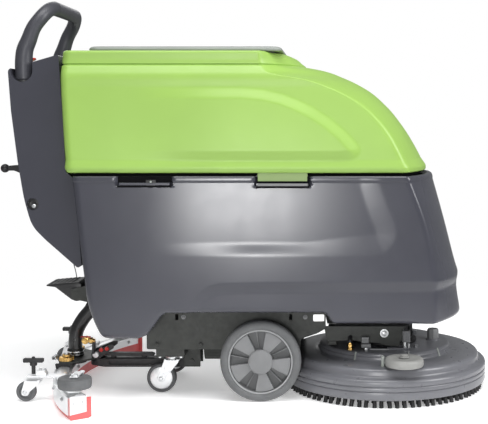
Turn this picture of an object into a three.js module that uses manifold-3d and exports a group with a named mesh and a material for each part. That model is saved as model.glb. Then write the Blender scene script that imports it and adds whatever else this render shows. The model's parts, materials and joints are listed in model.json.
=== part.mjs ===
// Walk-behind wet and dry floor scrubber: brush deck in front, squeegee behind, two stacked tanks.
// Frame: millimetres, +X forward, +Y to the machine's left, +Z up.
// The origin is on the floor, under the middle of the machine's bounding box.
import * as THREE from "three";
import { mergeVertices } from "three/addons/utils/BufferGeometryUtils.js";
import Module from "manifold-3d";

const wasm = await Module();
wasm.setup();

// ---------------------------------------------------------------- driving dimensions
const GAP = 0.3; // clearance left between pieces that touch
const BODY_HALF_WIDTH = 240;
const SEAM_Z = 565; // parting line between the two tanks
const WALL = 7; // moulded tank wall
const UNDERSIDE_Z = 227; // raised middle of the solution tank's floor
const TANK_TOP_Z = 872;

const DRIVE_WHEEL = { x: 35, radius: 101, width: 42, outerFace: 207 };
const CASTER = { swivelX: -199, y: 102, trail: 27, radius: 38, width: 26 };
const TRAILING = { swivelX: -532, y: 190, trail: 18, radius: 25, width: 20 };

const DECK = { x: 353, skirtRadius: 268, skirtBottom: 20, rimZ: 73, plateRadius: 246, plateZ: 93 };
const BUMPER = { x: 390, y: -230, radius: 48, bottom: 97, height: 22 };

// The squeegee is an arc in plan, its middle rearmost.
const SQUEEGEE = { radius: 612, rearX: -490, halfAngle: Math.asin(350 / 612) };
const DRAWBAR = { pivotX: -158, pivotZ: 62, yawX: -411, halfWidth: 20 };

const CONSOLE_HALF_WIDTH = 195;
const PANEL_SLOPE = Math.atan2(36, 125);
const HANDLE = { radius: 18, socketX: -553, y: 170, topZ: 985 };
const LEVER = { x: -545, y: -150, z: 580 };
const PEDAL = { x: -432, y: -100, z: 262, halfWidth: 45 };

// ---------------------------------------------------------------- materials
function finish(color, roughness, metalness = 0) {
  return new THREE.MeshStandardMaterial({ color, roughness, metalness });
}
const GREEN = finish("#9ccc5a", 0.35);
const GREY_SHELL = finish("#5b5d66", 0.45);
const LID_GREY = finish("#969b96", 0.45);
const BLACK = finish("#1d1d1f", 0.6);
const RUBBER = finish("#76787a", 0.85);
const DECK_GREY = finish("#82838a", 0.5);
const RIM_GREY = finish("#9ea1a4", 0.5);
const STEEL = finish("#c4c6c8", 0.35, 1);
const DARK_STEEL = finish("#4b4d48", 0.55, 0.6);
const BRASS = finish("#b98a3c", 0.35, 1);
const RED = finish("#c22a24", 0.45);
const BLADE = finish("#c8565a", 0.6);
const GLASS = finish("#16202a", 0.15);

// ---------------------------------------------------------------- solids
function toSolid(geometry) {
  const bare = geometry.clone();
  bare.deleteAttribute("normal");
  bare.deleteAttribute("uv");
  const merged = mergeVertices(bare, 1e-3);
  const vertProperties = Float32Array.from(merged.attributes.position.array);
  const triVerts = Uint32Array.from(merged.index.array);
  return new wasm.Manifold(new wasm.Mesh({ numProp: 3, vertProperties, triVerts }));
}

function toGeometry(solid) {
  const mesh = solid.getMesh();
  const geometry = new THREE.BufferGeometry();
  geometry.setAttribute("position", new THREE.BufferAttribute(mesh.vertProperties, 3));
  geometry.setIndex(new THREE.BufferAttribute(mesh.triVerts, 1));
  return geometry;
}

function join(first, ...others) {
  return toGeometry(others.reduce((solid, other) => solid.add(toSolid(other)), toSolid(first)));
}

function cut(base, ...tools) {
  return toGeometry(tools.reduce((solid, tool) => solid.subtract(toSolid(tool)), toSolid(base)));
}

// A box given by its lowest and highest corners.
function block([x0, y0, z0], [x1, y1, z1]) {
  const geometry = new THREE.BoxGeometry(x1 - x0, y1 - y0, z1 - z0);
  return geometry.translate((x0 + x1) / 2, (y0 + y1) / 2, (z0 + z1) / 2);
}

// A cylinder along "x", "y" or "z", centred on a point.
function rod(axis, radius, length, [x, y, z] = [0, 0, 0], sides = 24) {
  const geometry = new THREE.CylinderGeometry(radius, radius, length, sides);
  if (axis === "x") geometry.rotateZ(Math.PI / 2);
  if (axis === "z") geometry.rotateX(Math.PI / 2);
  return geometry.translate(x, y, z);
}

// A side-view outline of [x, z] points, extruded from y0 to y1.
function sidePlate(outline, y0, y1) {
  const shape = new THREE.Shape(outline.map(([x, z]) => new THREE.Vector2(x, z)));
  const geometry = new THREE.ExtrudeGeometry(shape, { depth: y1 - y0, bevelEnabled: false });
  return geometry.rotateX(Math.PI / 2).translate(0, y1, 0);
}

// A closed [radius, height] profile turned about the vertical axis.
function turned(profile, sides = 36) {
  const closed = [...profile, profile[0]];
  const points = closed.map(([radius, z]) => new THREE.Vector2(radius, z));
  return new THREE.LatheGeometry(points, sides).rotateX(Math.PI / 2);
}

// A closed body through rings of points that run anticlockwise seen from the last ring's side.
function loft(rings) {
  const count = rings[0].length;
  const last = (rings.length - 1) * count;
  const index = [];
  for (let ring = 0; ring < rings.length - 1; ring += 1) {
    for (let side = 0; side < count; side += 1) {
      const a = ring * count + side;
      const b = ring * count + ((side + 1) % count);
      index.push(a, b, b + count, a, b + count, a + count);
    }
  }
  for (let side = 1; side < count - 1; side += 1) {
    index.push(0, side + 1, side);
    index.push(last, last + side, last + side + 1);
  }
  const geometry = new THREE.BufferGeometry();
  geometry.setAttribute("position", new THREE.Float32BufferAttribute(rings.flat(2), 3));
  geometry.setIndex(index);
  return geometry;
}

// ---------------------------------------------------------------- the assembly
const machine = new THREE.Group();
const SIDES = [["right", -1], ["left", 1]];

function add(name, geometry, material, position = [0, 0, 0], parent = machine) {
  const mesh = new THREE.Mesh(geometry, material);
  mesh.name = name;
  mesh.position.set(...position);
  parent.add(mesh);
  return mesh;
}

// ---------------------------------------------------------------- tanks
// One plan outline of a tank: rounded rear corners, straight sides and a bowed nose.
function tankRing({ z, rear, shoulder, nose, halfWidth }, inset = 0) {
  const NOSE_STEPS = 12;
  const SQUARENESS = 2 / 2.5;
  const CORNER_RADIUS = 45;
  const CORNER_STEPS = 3;
  const half = halfWidth - inset;
  const back = rear + inset;
  const bow = nose - shoulder - inset / 2;
  const ring = [];
  for (let step = 0; step <= NOSE_STEPS; step += 1) {
    const angle = (step / NOSE_STEPS - 0.5) * Math.PI;
    const forward = Math.max(Math.cos(angle), 0) ** SQUARENESS;
    const across = Math.sign(angle) * Math.abs(Math.sin(angle)) ** SQUARENESS;
    ring.push([shoulder - inset / 2 + bow * forward, half * across, z]);
  }
  const corner = CORNER_RADIUS - inset;
  for (const side of [1, -1]) {
    for (let step = 0; step <= CORNER_STEPS; step += 1) {
      const turn = (step / CORNER_STEPS) * (Math.PI / 2);
      const angle = side > 0 ? turn : Math.PI / 2 - turn;
      const x = back + corner - corner * Math.sin(angle);
      ring.push([x, side * (half - corner + corner * Math.cos(angle)), z]);
    }
  }
  return ring;
}

const SOLUTION_RINGS = [
  { z: 164, rear: -352, shoulder: 466, nose: 546, halfWidth: 232 },
  { z: 205, rear: -371, shoulder: 470, nose: 550, halfWidth: 234 },
  { z: 270, rear: -388, shoulder: 469, nose: 545, halfWidth: 236 },
  { z: 332, rear: -397, shoulder: 464, nose: 535, halfWidth: 237 },
  { z: 443, rear: -410, shoulder: 441, nose: 508, halfWidth: 239 },
  { z: SEAM_Z - GAP, rear: -422, shoulder: 398, nose: 474, halfWidth: BODY_HALF_WIDTH },
];
const NOSE_FLOOR_Z = 200;

function solutionTank() {
  const outer = loft(SOLUTION_RINGS.map((ring) => tankRing(ring)));
  const floorZ = UNDERSIDE_Z + WALL;
  const inner = SOLUTION_RINGS.slice(2).map((ring) => tankRing(ring, WALL));
  const bottom = tankRing({ ...SOLUTION_RINGS[1], z: floorZ }, WALL);
  const mouth = tankRing({ ...SOLUTION_RINGS.at(-1), z: SEAM_Z + 10 }, WALL);
  const hollow = loft([bottom, ...inner, mouth]);
  const underside = sidePlate(
    [[-243, 150], [700, 150], [700, NOSE_FLOOR_Z], [216, NOSE_FLOOR_Z], [198, UNDERSIDE_Z],
      [-201, UNDERSIDE_Z], [-241, 176]],
    -300, 300,
  );
  const gripNotches = [[-311, -177], [26, 159]].map(([x0, x1]) => (
    block([x0, -BODY_HALF_WIDTH - 5, 538], [x1, -BODY_HALF_WIDTH + 4, SEAM_Z + 5])
  ));
  return cut(outer, hollow, underside, ...gripNotches);
}

const RECOVERY_RINGS = [
  { z: SEAM_Z, rear: -436, shoulder: 394, nose: 464, halfWidth: BODY_HALF_WIDTH },
  { z: 600, rear: -439, shoulder: 383, nose: 448, halfWidth: 239 },
  { z: 650, rear: -443, shoulder: 354, nose: 420, halfWidth: 237 },
  { z: 700, rear: -446, shoulder: 314, nose: 388, halfWidth: 234 },
  { z: 750, rear: -449, shoulder: 254, nose: 342, halfWidth: 230 },
  { z: 790, rear: -452, shoulder: 175, nose: 290, halfWidth: 225 },
  { z: 815, rear: -453, shoulder: 100, nose: 235, halfWidth: 220 },
  { z: 832, rear: -453, shoulder: 60, nose: 155, halfWidth: 217 },
  { z: TANK_TOP_Z, rear: -450, shoulder: 40, nose: 105, halfWidth: 213 },
];
const LID = { rear: -393, front: 88, halfWidth: 185, thickness: 13 };

function recoveryTank() {
  const outer = loft(RECOVERY_RINGS.map((ring) => tankRing(ring)));
  const rings = RECOVERY_RINGS.slice(1, -1).map((ring) => tankRing(ring, WALL));
  const floor = tankRing({ ...RECOVERY_RINGS[0], z: SEAM_Z + WALL }, WALL);
  const ceiling = tankRing({ ...RECOVERY_RINGS.at(-1), z: TANK_TOP_Z - WALL }, WALL);
  const hollow = loft([floor, ...rings, ceiling]);
  const rim = 25;
  const mouth = block(
    [LID.rear + rim, -LID.halfWidth + rim, TANK_TOP_Z - 20],
    [LID.front - rim, LID.halfWidth - rim, TANK_TOP_Z + 5],
  );
  return cut(outer, hollow, mouth);
}

function tankLid() {
  const z0 = TANK_TOP_Z + GAP;
  const cover = block([LID.rear, -LID.halfWidth, z0], [LID.front, LID.halfWidth, z0 + LID.thickness]);
  const plugRim = 27;
  const plug = block(
    [LID.rear + plugRim, -LID.halfWidth + plugRim, z0 - 12],
    [LID.front - plugRim, LID.halfWidth - plugRim, z0 + 1],
  );
  return join(cover, plug);
}

const STANDPIPE = { x: -330, y: 90, radius: 24, bottom: 573, top: 760 };

function addTanks() {
  add("solution_tank", solutionTank(), GREY_SHELL);
  add("recovery_tank", recoveryTank(), GREEN);
  add("tank_lid", tankLid(), LID_GREY);
  const { x, y, radius, bottom, top } = STANDPIPE;
  const pipe = [[radius - 4, bottom], [radius, bottom], [radius, top], [radius - 4, top]];
  add("vacuum_standpipe", turned(pipe, 16), BLACK, [x, y, 0]);
  const cageBottom = top + GAP;
  const cage = join(
    turned([[18, cageBottom], [34, cageBottom], [34, cageBottom + 5], [18, cageBottom + 5]], 16),
    ...[0, 1, 2, 3].map((post) => {
      const angle = post * (Math.PI / 2);
      return rod("z", 3, 84, [31 * Math.cos(angle), 31 * Math.sin(angle), cageBottom + 43], 8);
    }),
    turned([[27, cageBottom + 80], [34, cageBottom + 80], [34, cageBottom + 85], [27, cageBottom + 85]], 16),
  );
  add("float_cage", cage, LID_GREY, [x, y, 0]);
  add("float_ball", new THREE.SphereGeometry(22, 12, 8), BLACK, [x, y, cageBottom + 28]);
}

const BATTERY = { length: 340, width: 172, height: 240, floorZ: 246 };

function addBatteries() {
  const wellTop = SEAM_Z - 12;
  const outer = block([-200, -190, UNDERSIDE_Z + WALL + GAP], [200, 190, wellTop]);
  const inner = block([-194, -184, BATTERY.floorZ - 3], [194, 184, wellTop + 10]);
  add("battery_well", cut(outer, inner), BLACK);
  for (const [side, sign] of SIDES) {
    const y = sign * (BATTERY.width / 2 + 5);
    const half = BATTERY.width / 2;
    const top = BATTERY.floorZ + BATTERY.height;
    const terminals = [-1, 1].map((end) => rod("z", 9, 22, [end * 130, y + 55 * sign, top + 6], 12));
    const box = block([-BATTERY.length / 2, y - half, BATTERY.floorZ - 2.7],
      [BATTERY.length / 2, y + half, top]);
    add(`battery_${side}`, join(box, ...terminals), DARK_STEEL);
  }
}

// ---------------------------------------------------------------- chassis
const PLATE_Y = 138; // inner face of each chassis side plate
const PLATE_THICKNESS = 5;
const CHASSIS_BOTTOM = 119;
const CHASSIS_TOP = UNDERSIDE_Z - GAP;

function addChassis() {
  const outline = [[-258, CHASSIS_BOTTOM], [132, CHASSIS_BOTTOM], [134, 146], [198, 164],
    [198, CHASSIS_TOP - 2], [196, CHASSIS_TOP], [-196, CHASSIS_TOP], [-236, 162], [-258, 158]];
  const wheelArch = rod("y", 30, 400, [DRIVE_WHEEL.x, 0, DRIVE_WHEEL.radius], 32);
  const window = block([164, -200, 188], [188, 200, 210]);
  for (const [side, sign] of SIDES) {
    const inner = sign * PLATE_Y;
    const outer = sign * (PLATE_Y + PLATE_THICKNESS);
    const plate = sidePlate(outline, Math.min(inner, outer), Math.max(inner, outer));
    add(`side_plate_${side}`, cut(plate, wheelArch, window), DARK_STEEL);
  }
  const panHalf = PLATE_Y - GAP;
  add("chassis_pan", block([-190, -panHalf, 218], [194, panHalf, CHASSIS_TOP]), DARK_STEEL);
  addCasterBeam(panHalf);
}

// The cross beam under the rear: caster plates at its ends and the drawbar's hinge ears between them.
function addCasterBeam(half) {
  const web = block([-254, -half, 121], [-150, half, 126]);
  const frontFlange = block([-155, -half, 121], [-150, half, 215]);
  const plates = SIDES.map(([, sign]) => (
    block([CASTER.swivelX - 36, sign * CASTER.y - 36, 99], [CASTER.swivelX + 36, sign * CASTER.y + 36, 122])
  ));
  const hanger = [[-178, 48], [-136, 48], [-136, 124], [-178, 124]];
  const ears = [[-34, -26], [26, 34]].map(([y0, y1]) => sidePlate(hanger, y0, y1));
  const pin = rod("y", 7, 76, [DRAWBAR.pivotX, 0, DRAWBAR.pivotZ], 12);
  add("caster_beam", join(web, frontFlange, ...plates, ...ears, pin), DARK_STEEL);
}

// ---------------------------------------------------------------- drive wheels
function addDrive() {
  const { x, radius, width, outerFace } = DRIVE_WHEEL;
  const tyreInner = 81;
  const half = width / 2;
  for (const [side, sign] of SIDES) {
    const place = [x, sign * (outerFace - half), radius];
    const tyre = [[tyreInner, -half + 4], [radius - 8, -half], [radius, -half + 9], [radius, half - 9],
      [radius - 8, half], [tyreInner, half - 4]];
    add(`drive_tyre_${side}`, turned(tyre, 36).rotateX(Math.PI / 2), RUBBER, place);
    add(`drive_rim_${side}`, driveRim(tyreInner - GAP, half, sign), RIM_GREY, place);
  }
  const motor = join(
    block([x - 48, -52, 58], [x + 48, 52, 158]),
    rod("x", 46, 120, [x - 100, 0, 108], 24),
    rod("y", 24, 236, [x, 0, radius], 20),
  );
  const mount = block([x - 40, -40, 150], [x + 40, 40, 217.5]);
  const bores = rod("y", 13, 270, [x, 0, radius], 12);
  add("transaxle", cut(join(motor, mount), bores), DARK_STEEL);
}

// A five-spoke wheel with its half shaft.
function driveRim(radius, half, sign) {
  const SPOKES = 5;
  const ring = [[radius - 8, -half + 4.5], [radius, -half + 4.5], [radius, half - 4.5], [radius - 8, half - 4.5]];
  const hub = rod("y", 30, 2 * half - 8, [0, 0, 0], 20);
  const web = rod("y", radius - 2, 12, [0, 0, 0], 30);
  const spokes = Array.from({ length: SPOKES }, (_, spoke) => (
    block([24, -half + 7, -9], [radius - 3, half - 7, 9]).rotateY((spoke / SPOKES) * 2 * Math.PI)
  ));
  const shaft = rod("y", 12, 170, [0, -sign * 85, 0], 12);
  return join(turned(ring, 30).rotateX(Math.PI / 2), web, hub, ...spokes, shaft);
}

// ---------------------------------------------------------------- casters
// A fork that swivels about the vertical, with its wheel trailing behind the swivel axis.
function casterFork({ trail, radius, width }, top) {
  const armOut = width / 2 + 5;
  const arms = [[-armOut, -armOut + 3], [armOut - 3, armOut]].map(([y0, y1]) => (
    sidePlate([[-trail - 9, radius - 9], [-trail + 9, radius - 9], [18, top - 4], [18, top], [-24, top],
      [-24, top - 4]], y0, y1)
  ));
  const crown = block([-24, -armOut, top - 4], [18, armOut, top]);
  const axle = rod("y", 4, 2 * armOut + 6, [-trail, 0, radius], 12);
  return join(...arms, crown, axle);
}

function casterWheel(radius, width) {
  const half = width / 2;
  const section = [[4.4, -half], [radius - 5, -half], [radius, -half + 5], [radius, half - 5],
    [radius - 5, half], [4.4, half]];
  return turned(section, 24).rotateX(Math.PI / 2);
}

function addRearCasters() {
  for (const [side, sign] of SIDES) {
    const place = [CASTER.swivelX, sign * CASTER.y, 0];
    add(`caster_fork_${side}`, casterFork(CASTER, 98), STEEL, place);
    const axle = [CASTER.swivelX - CASTER.trail, sign * CASTER.y, CASTER.radius];
    add(`caster_wheel_${side}`, casterWheel(CASTER.radius, CASTER.width), RUBBER, axle);
  }
}

// ---------------------------------------------------------------- brush deck
function addBrushDeck() {
  const { x, skirtRadius, skirtBottom, rimZ, plateRadius, plateZ } = DECK;
  const discRadius = 175;
  const discTop = 114;
  const housing = [
    [skirtRadius, skirtBottom], [skirtRadius, rimZ], [plateRadius, rimZ + 4], [plateRadius, plateZ],
    [discRadius, plateZ], [discRadius - 6, discTop], [60, discTop], [60, discTop - 6],
    [discRadius - 14, discTop - 6], [discRadius - 8, plateZ - 6], [plateRadius - 6, plateZ - 6],
    [skirtRadius - 6, rimZ - 6], [skirtRadius - 6, skirtBottom],
  ];
  add("deck_housing", turned(housing, 40), DECK_GREY, [x, 0, 0]);
  const motor = join(
    rod("z", 85, 8, [0, 0, discTop + GAP + 4], 28),
    rod("z", 72, 44, [0, 0, discTop + GAP + 28], 28),
  );
  add("brush_motor", motor, BLACK, [x, 0, 0]);
  add("deck_bracket", deckBracket(), DARK_STEEL);
  const hubTop = discTop - GAP;
  const disc = [[0, 46], [235, 46], [235, 58], [60, 60], [48, 64], [48, hubTop], [0, hubTop]];
  add("brush_disc", new THREE.LatheGeometry(disc.map(([r, z]) => new THREE.Vector2(r, z)), 36)
    .rotateX(Math.PI / 2), BLACK, [x, 0, 0]);
  const bristles = [[130, 0], [254, 0], [240, 46 - GAP], [140, 46 - GAP]];
  add("brush_bristles", turned(bristles, 36), BLACK, [x, 0, 0]);
  addBumper();
}

// The yoke that carries the deck: two side cheeks and a bridge over the motor.
function deckBracket() {
  const cheek = [[208, 120], [222, 172], [402, 172], [408, 160], [404, 114.5], [352, 114.5]];
  const cheeks = [[-112, -106], [106, 112]].map(([y0, y1]) => sidePlate(cheek, y0, y1));
  const bridge = block([222, -112, 167], [402, 112, 172]);
  const feet = SIDES.map(([, sign]) => block([352, sign * 109 - 16, 114.5], [404, sign * 109 + 16, 120]));
  const lifters = block([202, -112, 122], [226, 112, 134]);
  return join(...cheeks, bridge, ...feet, lifters);
}

function addBumper() {
  const { x, y, radius, bottom, height } = BUMPER;
  const roller = turned([[8, bottom], [radius, bottom], [radius, bottom + height - 4],
    [radius - 5, bottom + height], [8, bottom + height]], 24);
  add("bumper_roller", roller, LID_GREY, [x, y, 0]);
  const stem = join(
    rod("z", 7.5, height + 3, [0, 0, bottom + height / 2], 16),
    rod("z", 13, 6, [0, 0, bottom + height + 4.5], 6),
  );
  add("bumper_bolt", stem, STEEL, [x, y, 0]);
}

// ---------------------------------------------------------------- squeegee
const SQUEEGEE_CENTRE_X = SQUEEGEE.rearX + SQUEEGEE.radius;
const CHANNEL_BOTTOM = 30;
const CHANNEL_TOP = 58;
const INLET_X = -474;

// A strip that follows the squeegee's arc, between two offsets from its middle line.
function arcStrip(outerOffset, innerOffset, z0, z1, halfAngle = SQUEEGEE.halfAngle) {
  const shape = new THREE.Shape();
  const { radius } = SQUEEGEE;
  shape.absarc(0, 0, radius + outerOffset, Math.PI - halfAngle, Math.PI + halfAngle, false);
  shape.absarc(0, 0, radius + innerOffset, Math.PI + halfAngle, Math.PI - halfAngle, true);
  const geometry = new THREE.ExtrudeGeometry(shape, { depth: z1 - z0, bevelEnabled: false, curveSegments: 14 });
  return geometry.translate(SQUEEGEE_CENTRE_X, 0, z0);
}

function squeegeeX(y) {
  return SQUEEGEE_CENTRE_X - Math.sqrt(SQUEEGEE.radius ** 2 - y ** 2);
}

function squeegeeBody() {
  const channel = arcStrip(16, -16, CHANNEL_BOTTOM, CHANNEL_TOP);
  const inlet = rod("z", 30, 12, [INLET_X, 0, 60], 20);
  const port = rod("z", 15, 40, [INLET_X, 0, 70], 16);
  const arms = SIDES.map(([, sign]) => {
    const y = sign * TRAILING.y;
    return block([TRAILING.swivelX - 16, y - 14, 62], [squeegeeX(y) + 8, y + 14, 68]);
  });
  const risers = SIDES.map(([, sign]) => {
    const y = sign * TRAILING.y;
    return block([squeegeeX(y) - 12, y - 14, CHANNEL_TOP - 4], [squeegeeX(y) + 8, y + 14, 66]);
  });
  const rollerArms = SIDES.map(([, sign]) => {
    const { x, y } = guideRollerPlace(sign);
    return block([x - 14, Math.min(y, y - sign * 30), CHANNEL_TOP - 4], [x + 14, Math.max(y, y - sign * 30), 66]);
  });
  const bosses = SIDES.map(([, sign]) => rod("z", 7, 34, [squeegeeX(60) + 4, sign * 60, 66], 12));
  return cut(join(channel, inlet, ...arms, ...risers, ...rollerArms, ...bosses), port);
}

const GUIDE_ROLLER = { radius: 40, bottom: 68, height: 26, y: 322 };

function guideRollerPlace(sign) {
  return { x: squeegeeX(GUIDE_ROLLER.y) + 2, y: sign * GUIDE_ROLLER.y };
}

function addSqueegee() {
  add("squeegee_body", squeegeeBody(), STEEL);
  add("rear_blade", arcStrip(20.5, 16.5, 0, 52), BLADE);
  add("front_blade", arcStrip(-16.5, -20.5, 2, 52), BLADE);
  for (const [side, sign] of SIDES) {
    const { x, y } = guideRollerPlace(sign);
    const { radius, bottom, height } = GUIDE_ROLLER;
    const roller = turned([[7, bottom], [radius, bottom], [radius, bottom + height],
      [7, bottom + height]], 28);
    add(`guide_roller_${side}`, roller, RUBBER, [x, y, 0]);
    addTrailingCaster(side, sign);
    const nut = join(rod("z", 15, 8, [0, 0, 75.5], 16), rod("z", 10, 14, [0, 0, 78.5], 12));
    const threaded = cut(nut, rod("z", 7.5, 60, [0, 0, 80], 12));
    add(`thumb_nut_${side}`, threaded, BRASS, [squeegeeX(60) + 4, sign * 60, 0]);
  }
  addDrawbar();
}

function addTrailingCaster(side, sign) {
  const { swivelX, y, trail, radius, width } = TRAILING;
  const forkTop = 62 - GAP;
  add(`trailing_fork_${side}`, casterFork({ trail, radius, width }, forkTop), STEEL, [swivelX, sign * y, 0]);
  add(`trailing_wheel_${side}`, casterWheel(radius, width), BLACK, [swivelX - trail, sign * y, radius]);
  const knob = join(
    rod("z", 5, 28, [0, 0, 82.5], 12),
    rod("z", 9, 8, [0, 0, 94], 12),
    block([-25, -6, 97], [25, 6, 108]),
  );
  add(`height_knob_${side}`, knob, BLACK, [swivelX, sign * y, 0]);
}

// The towing arm from the chassis pin back to a vertical bolt, on which the squeegee's carrier swings.
function addDrawbar() {
  const { pivotX, pivotZ, yawX, halfWidth } = DRAWBAR;
  const armTop = 66;
  const bar = sidePlate([[pivotX - 14, pivotZ - 12], [pivotX + 14, pivotZ - 12], [pivotX + 14, pivotZ + 12],
    [pivotX - 14, pivotZ + 12], [yawX + 32, armTop], [yawX, armTop], [yawX, armTop - 12]], -halfWidth, halfWidth);
  const eye = rod("z", halfWidth, 12, [yawX, 0, armTop - 6], 20);
  const bolt = rod("z", 6.6, 60, [yawX, 0, armTop], 12);
  const bore = rod("y", 7.6, 80, [pivotX, 0, pivotZ], 12);
  add("squeegee_drawbar", cut(join(bar, eye), bolt, bore), BLACK);

  const plateZ = armTop + GAP + 0.2;
  const lug = block([INLET_X, -18, plateZ], [yawX, 18, plateZ + 4.5]);
  const nose = rod("z", 18, 4.5, [yawX, 0, plateZ + 2.25], 20);
  const saddle = rod("z", 44, 4.5, [INLET_X, 0, plateZ + 2.25], 28);
  const ears = block([squeegeeX(60) - 12, -78, plateZ], [squeegeeX(60) + 20, 78, plateZ + 4.5]);
  const pin = rod("z", 6, 26, [yawX, 0, plateZ - 6], 12);
  const head = rod("z", 11, 8, [yawX, 0, plateZ + 8], 6);
  const mouth = rod("z", 22, 60, [INLET_X, 0, plateZ], 20);
  const holes = SIDES.map(([, sign]) => rod("z", 7.6, 30, [squeegeeX(60) + 4, sign * 60, 70], 12));
  add("squeegee_carrier", cut(join(lug, nose, saddle, ears, pin, head), mouth, ...holes), BLACK);
}

// ---------------------------------------------------------------- suction hose
// A moulded rubber hose from the squeegee's inlet up behind the solution tank into the console.
function addSuctionHose() {
  const x = INLET_X;
  const route = [[x, 66.4], [x, 85], [x, 112], [x + 5, 140], [x + 22, 170], [x + 44, 198], [x + 62, 240],
    [x + 58, 290], [x + 47, 340], [x + 42, 385], [x + 40, 430]];
  const curve = new THREE.CatmullRomCurve3(route.map(([px, pz]) => new THREE.Vector3(px, 0, pz)));
  const section = new THREE.Shape().absarc(0, 0, 18.5, 0, 2 * Math.PI, false);
  const geometry = new THREE.ExtrudeGeometry(section, { steps: 20, curveSegments: 5, extrudePath: curve });
  add("suction_hose", geometry, BLACK);
}

// ---------------------------------------------------------------- console
const CONSOLE_TOP = [[-587, 827], [-462, 863]];

// The controls stand in one row on the panel. Buttons sink into wells below it: [y, radius].
const CONTROL_ROW_X = -32;
const BUTTON_WELLS = [[-108, 11], [-8, 8.6], [-46, 8.6]];

function panelSeat() {
  const [[x0, z0], [x1, z1]] = CONSOLE_TOP;
  const seat = new THREE.Group();
  seat.position.set((x0 + x1) / 2, 0, (z0 + z1) / 2);
  seat.rotation.y = -PANEL_SLOPE;
  seat.updateMatrixWorld(true);
  return seat;
}

function consoleHousing() {
  const outline = [...CONSOLE_TOP, [-458, 800], [-452, 700], [-446, 572], [-430, 560], [-417, 450],
    [-409, 340], [-418, 334], [-496, 403], [-531, 438], [-550, 505], [-565, 600], [-580, 724]];
  const outer = sidePlate(outline, -CONSOLE_HALF_WIDTH, CONSOLE_HALF_WIDTH);
  const inside = [[-573, 780], [-400, 780], [-400, 346], [-418, 346], [-492, 411], [-524, 443], [-542, 507],
    [-557, 600], [-570, 724]];
  const inner = sidePlate(inside, -CONSOLE_HALF_WIDTH + 7, CONSOLE_HALF_WIDTH - 7);
  const sockets = SIDES.map(([, sign]) => (
    rod("z", HANDLE.radius + 3, 90, [HANDLE.socketX, sign * HANDLE.y, 841], 20)
  ));
  const leverSlot = block([-600, LEVER.y - 9, 536], [-550, LEVER.y + 9, 596]);
  const hoseHole = rod("z", 24, 80, [INLET_X + 47, 0, 350], 16);
  const wells = BUTTON_WELLS.map(([y, radius]) => (
    rod("z", radius, 40, [CONTROL_ROW_X, y, -14], 16).applyMatrix4(panelSeat().matrixWorld)
  ));
  return cut(outer, inner, ...sockets, leverSlot, hoseHole, ...wells);
}

function handleLoop() {
  const { radius, socketX, y, topZ } = HANDLE;
  const half = [[socketX, y, 798], [socketX - 1, y, 850], [socketX + 8, y, 895], [-523, y - 6, 943],
    [-503, y - 33, 975], [-495, y - 80, topZ]];
  const mirrored = half.map(([px, py, pz]) => [px, -py, pz]).reverse();
  const points = [...half, ...mirrored].map((point) => new THREE.Vector3(...point));
  const curve = new THREE.CatmullRomCurve3(points);
  const section = new THREE.Shape().absarc(0, 0, radius, 0, 2 * Math.PI, false);
  return new THREE.ExtrudeGeometry(section, { steps: 30, curveSegments: 5, extrudePath: curve });
}

function addConsole() {
  add("console_housing", consoleHousing(), GREY_SHELL);
  add("handle_loop", handleLoop(), BLACK);
  add("vacuum_motor", join(rod("z", 47, 90, [0, 0, 0], 24), rod("z", 24, 112, [0, 0, 8], 16)), BLACK,
    [-509, 0, 690]);
  add("motor_controller", block([-525, -90, 480], [-470, 110, 600]), DARK_STEEL);
  const lever = join(
    rod("y", 12, 16, [0, 0, 0], 16),
    rod("x", 5, 64, [-34, 0, 0], 12),
    new THREE.SphereGeometry(9, 10, 8).translate(-67, 0, 0),
  );
  add("lift_lever", lever, BLACK, [LEVER.x, LEVER.y, LEVER.z]);
  addPanel();
}

// The sloping control panel and its controls, in a group whose XY plane is the panel's seat.
function addPanel() {
  const seat = panelSeat();
  machine.add(seat);
  const top = 6;
  const holes = [[-108, 9.4], [108, 11.4], [50, 8.4], [-8, 7.4], [-46, 7.4]]
    .map(([y, radius]) => rod("z", radius, 20, [CONTROL_ROW_X, y, 5], 16));
  const glassRecess = block([2, -42, 4], [40, 42, 10]);
  const plate = block([-56, -145, GAP], [54, 145, top]);
  add("control_panel", cut(plate, ...holes, glassRecess), BLACK, [0, 0, 0], seat);
  add("display_window", block([2.3, -41.7, 4.3], [39.7, 41.7, top + 0.8]), GLASS, [0, 0, 0], seat);
  const mushroom = join(rod("z", 9, 14, [0, 0, 7.5], 20), turned([[0, 14], [19, 14], [19, 18], [12, 22],
    [0, 22]], 20));
  add("emergency_stop", mushroom, RED, [CONTROL_ROW_X, -108, 0], seat);
  const key = join(rod("z", 11, 9, [0, 0, 5], 20), block([-11, -1.5, 9], [11, 1.5, 30]));
  add("key_switch", key, STEEL, [CONTROL_ROW_X, 108, 0], seat);
  const dial = join(rod("z", 8, 14, [0, 0, 7.5], 20), rod("z", 16, 12, [0, 0, 14], 24),
    block([2, -1.5, 19], [15, 1.5, 22]));
  add("speed_dial", dial, BLACK, [CONTROL_ROW_X, 50, 0], seat);
  [["brush_button", -8], ["vacuum_button", -46]].forEach(([name, y]) => {
    add(name, rod("z", 7, 8.5, [0, 0, 5], 20), LID_GREY, [CONTROL_ROW_X, y, 0], seat);
  });
}

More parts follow.
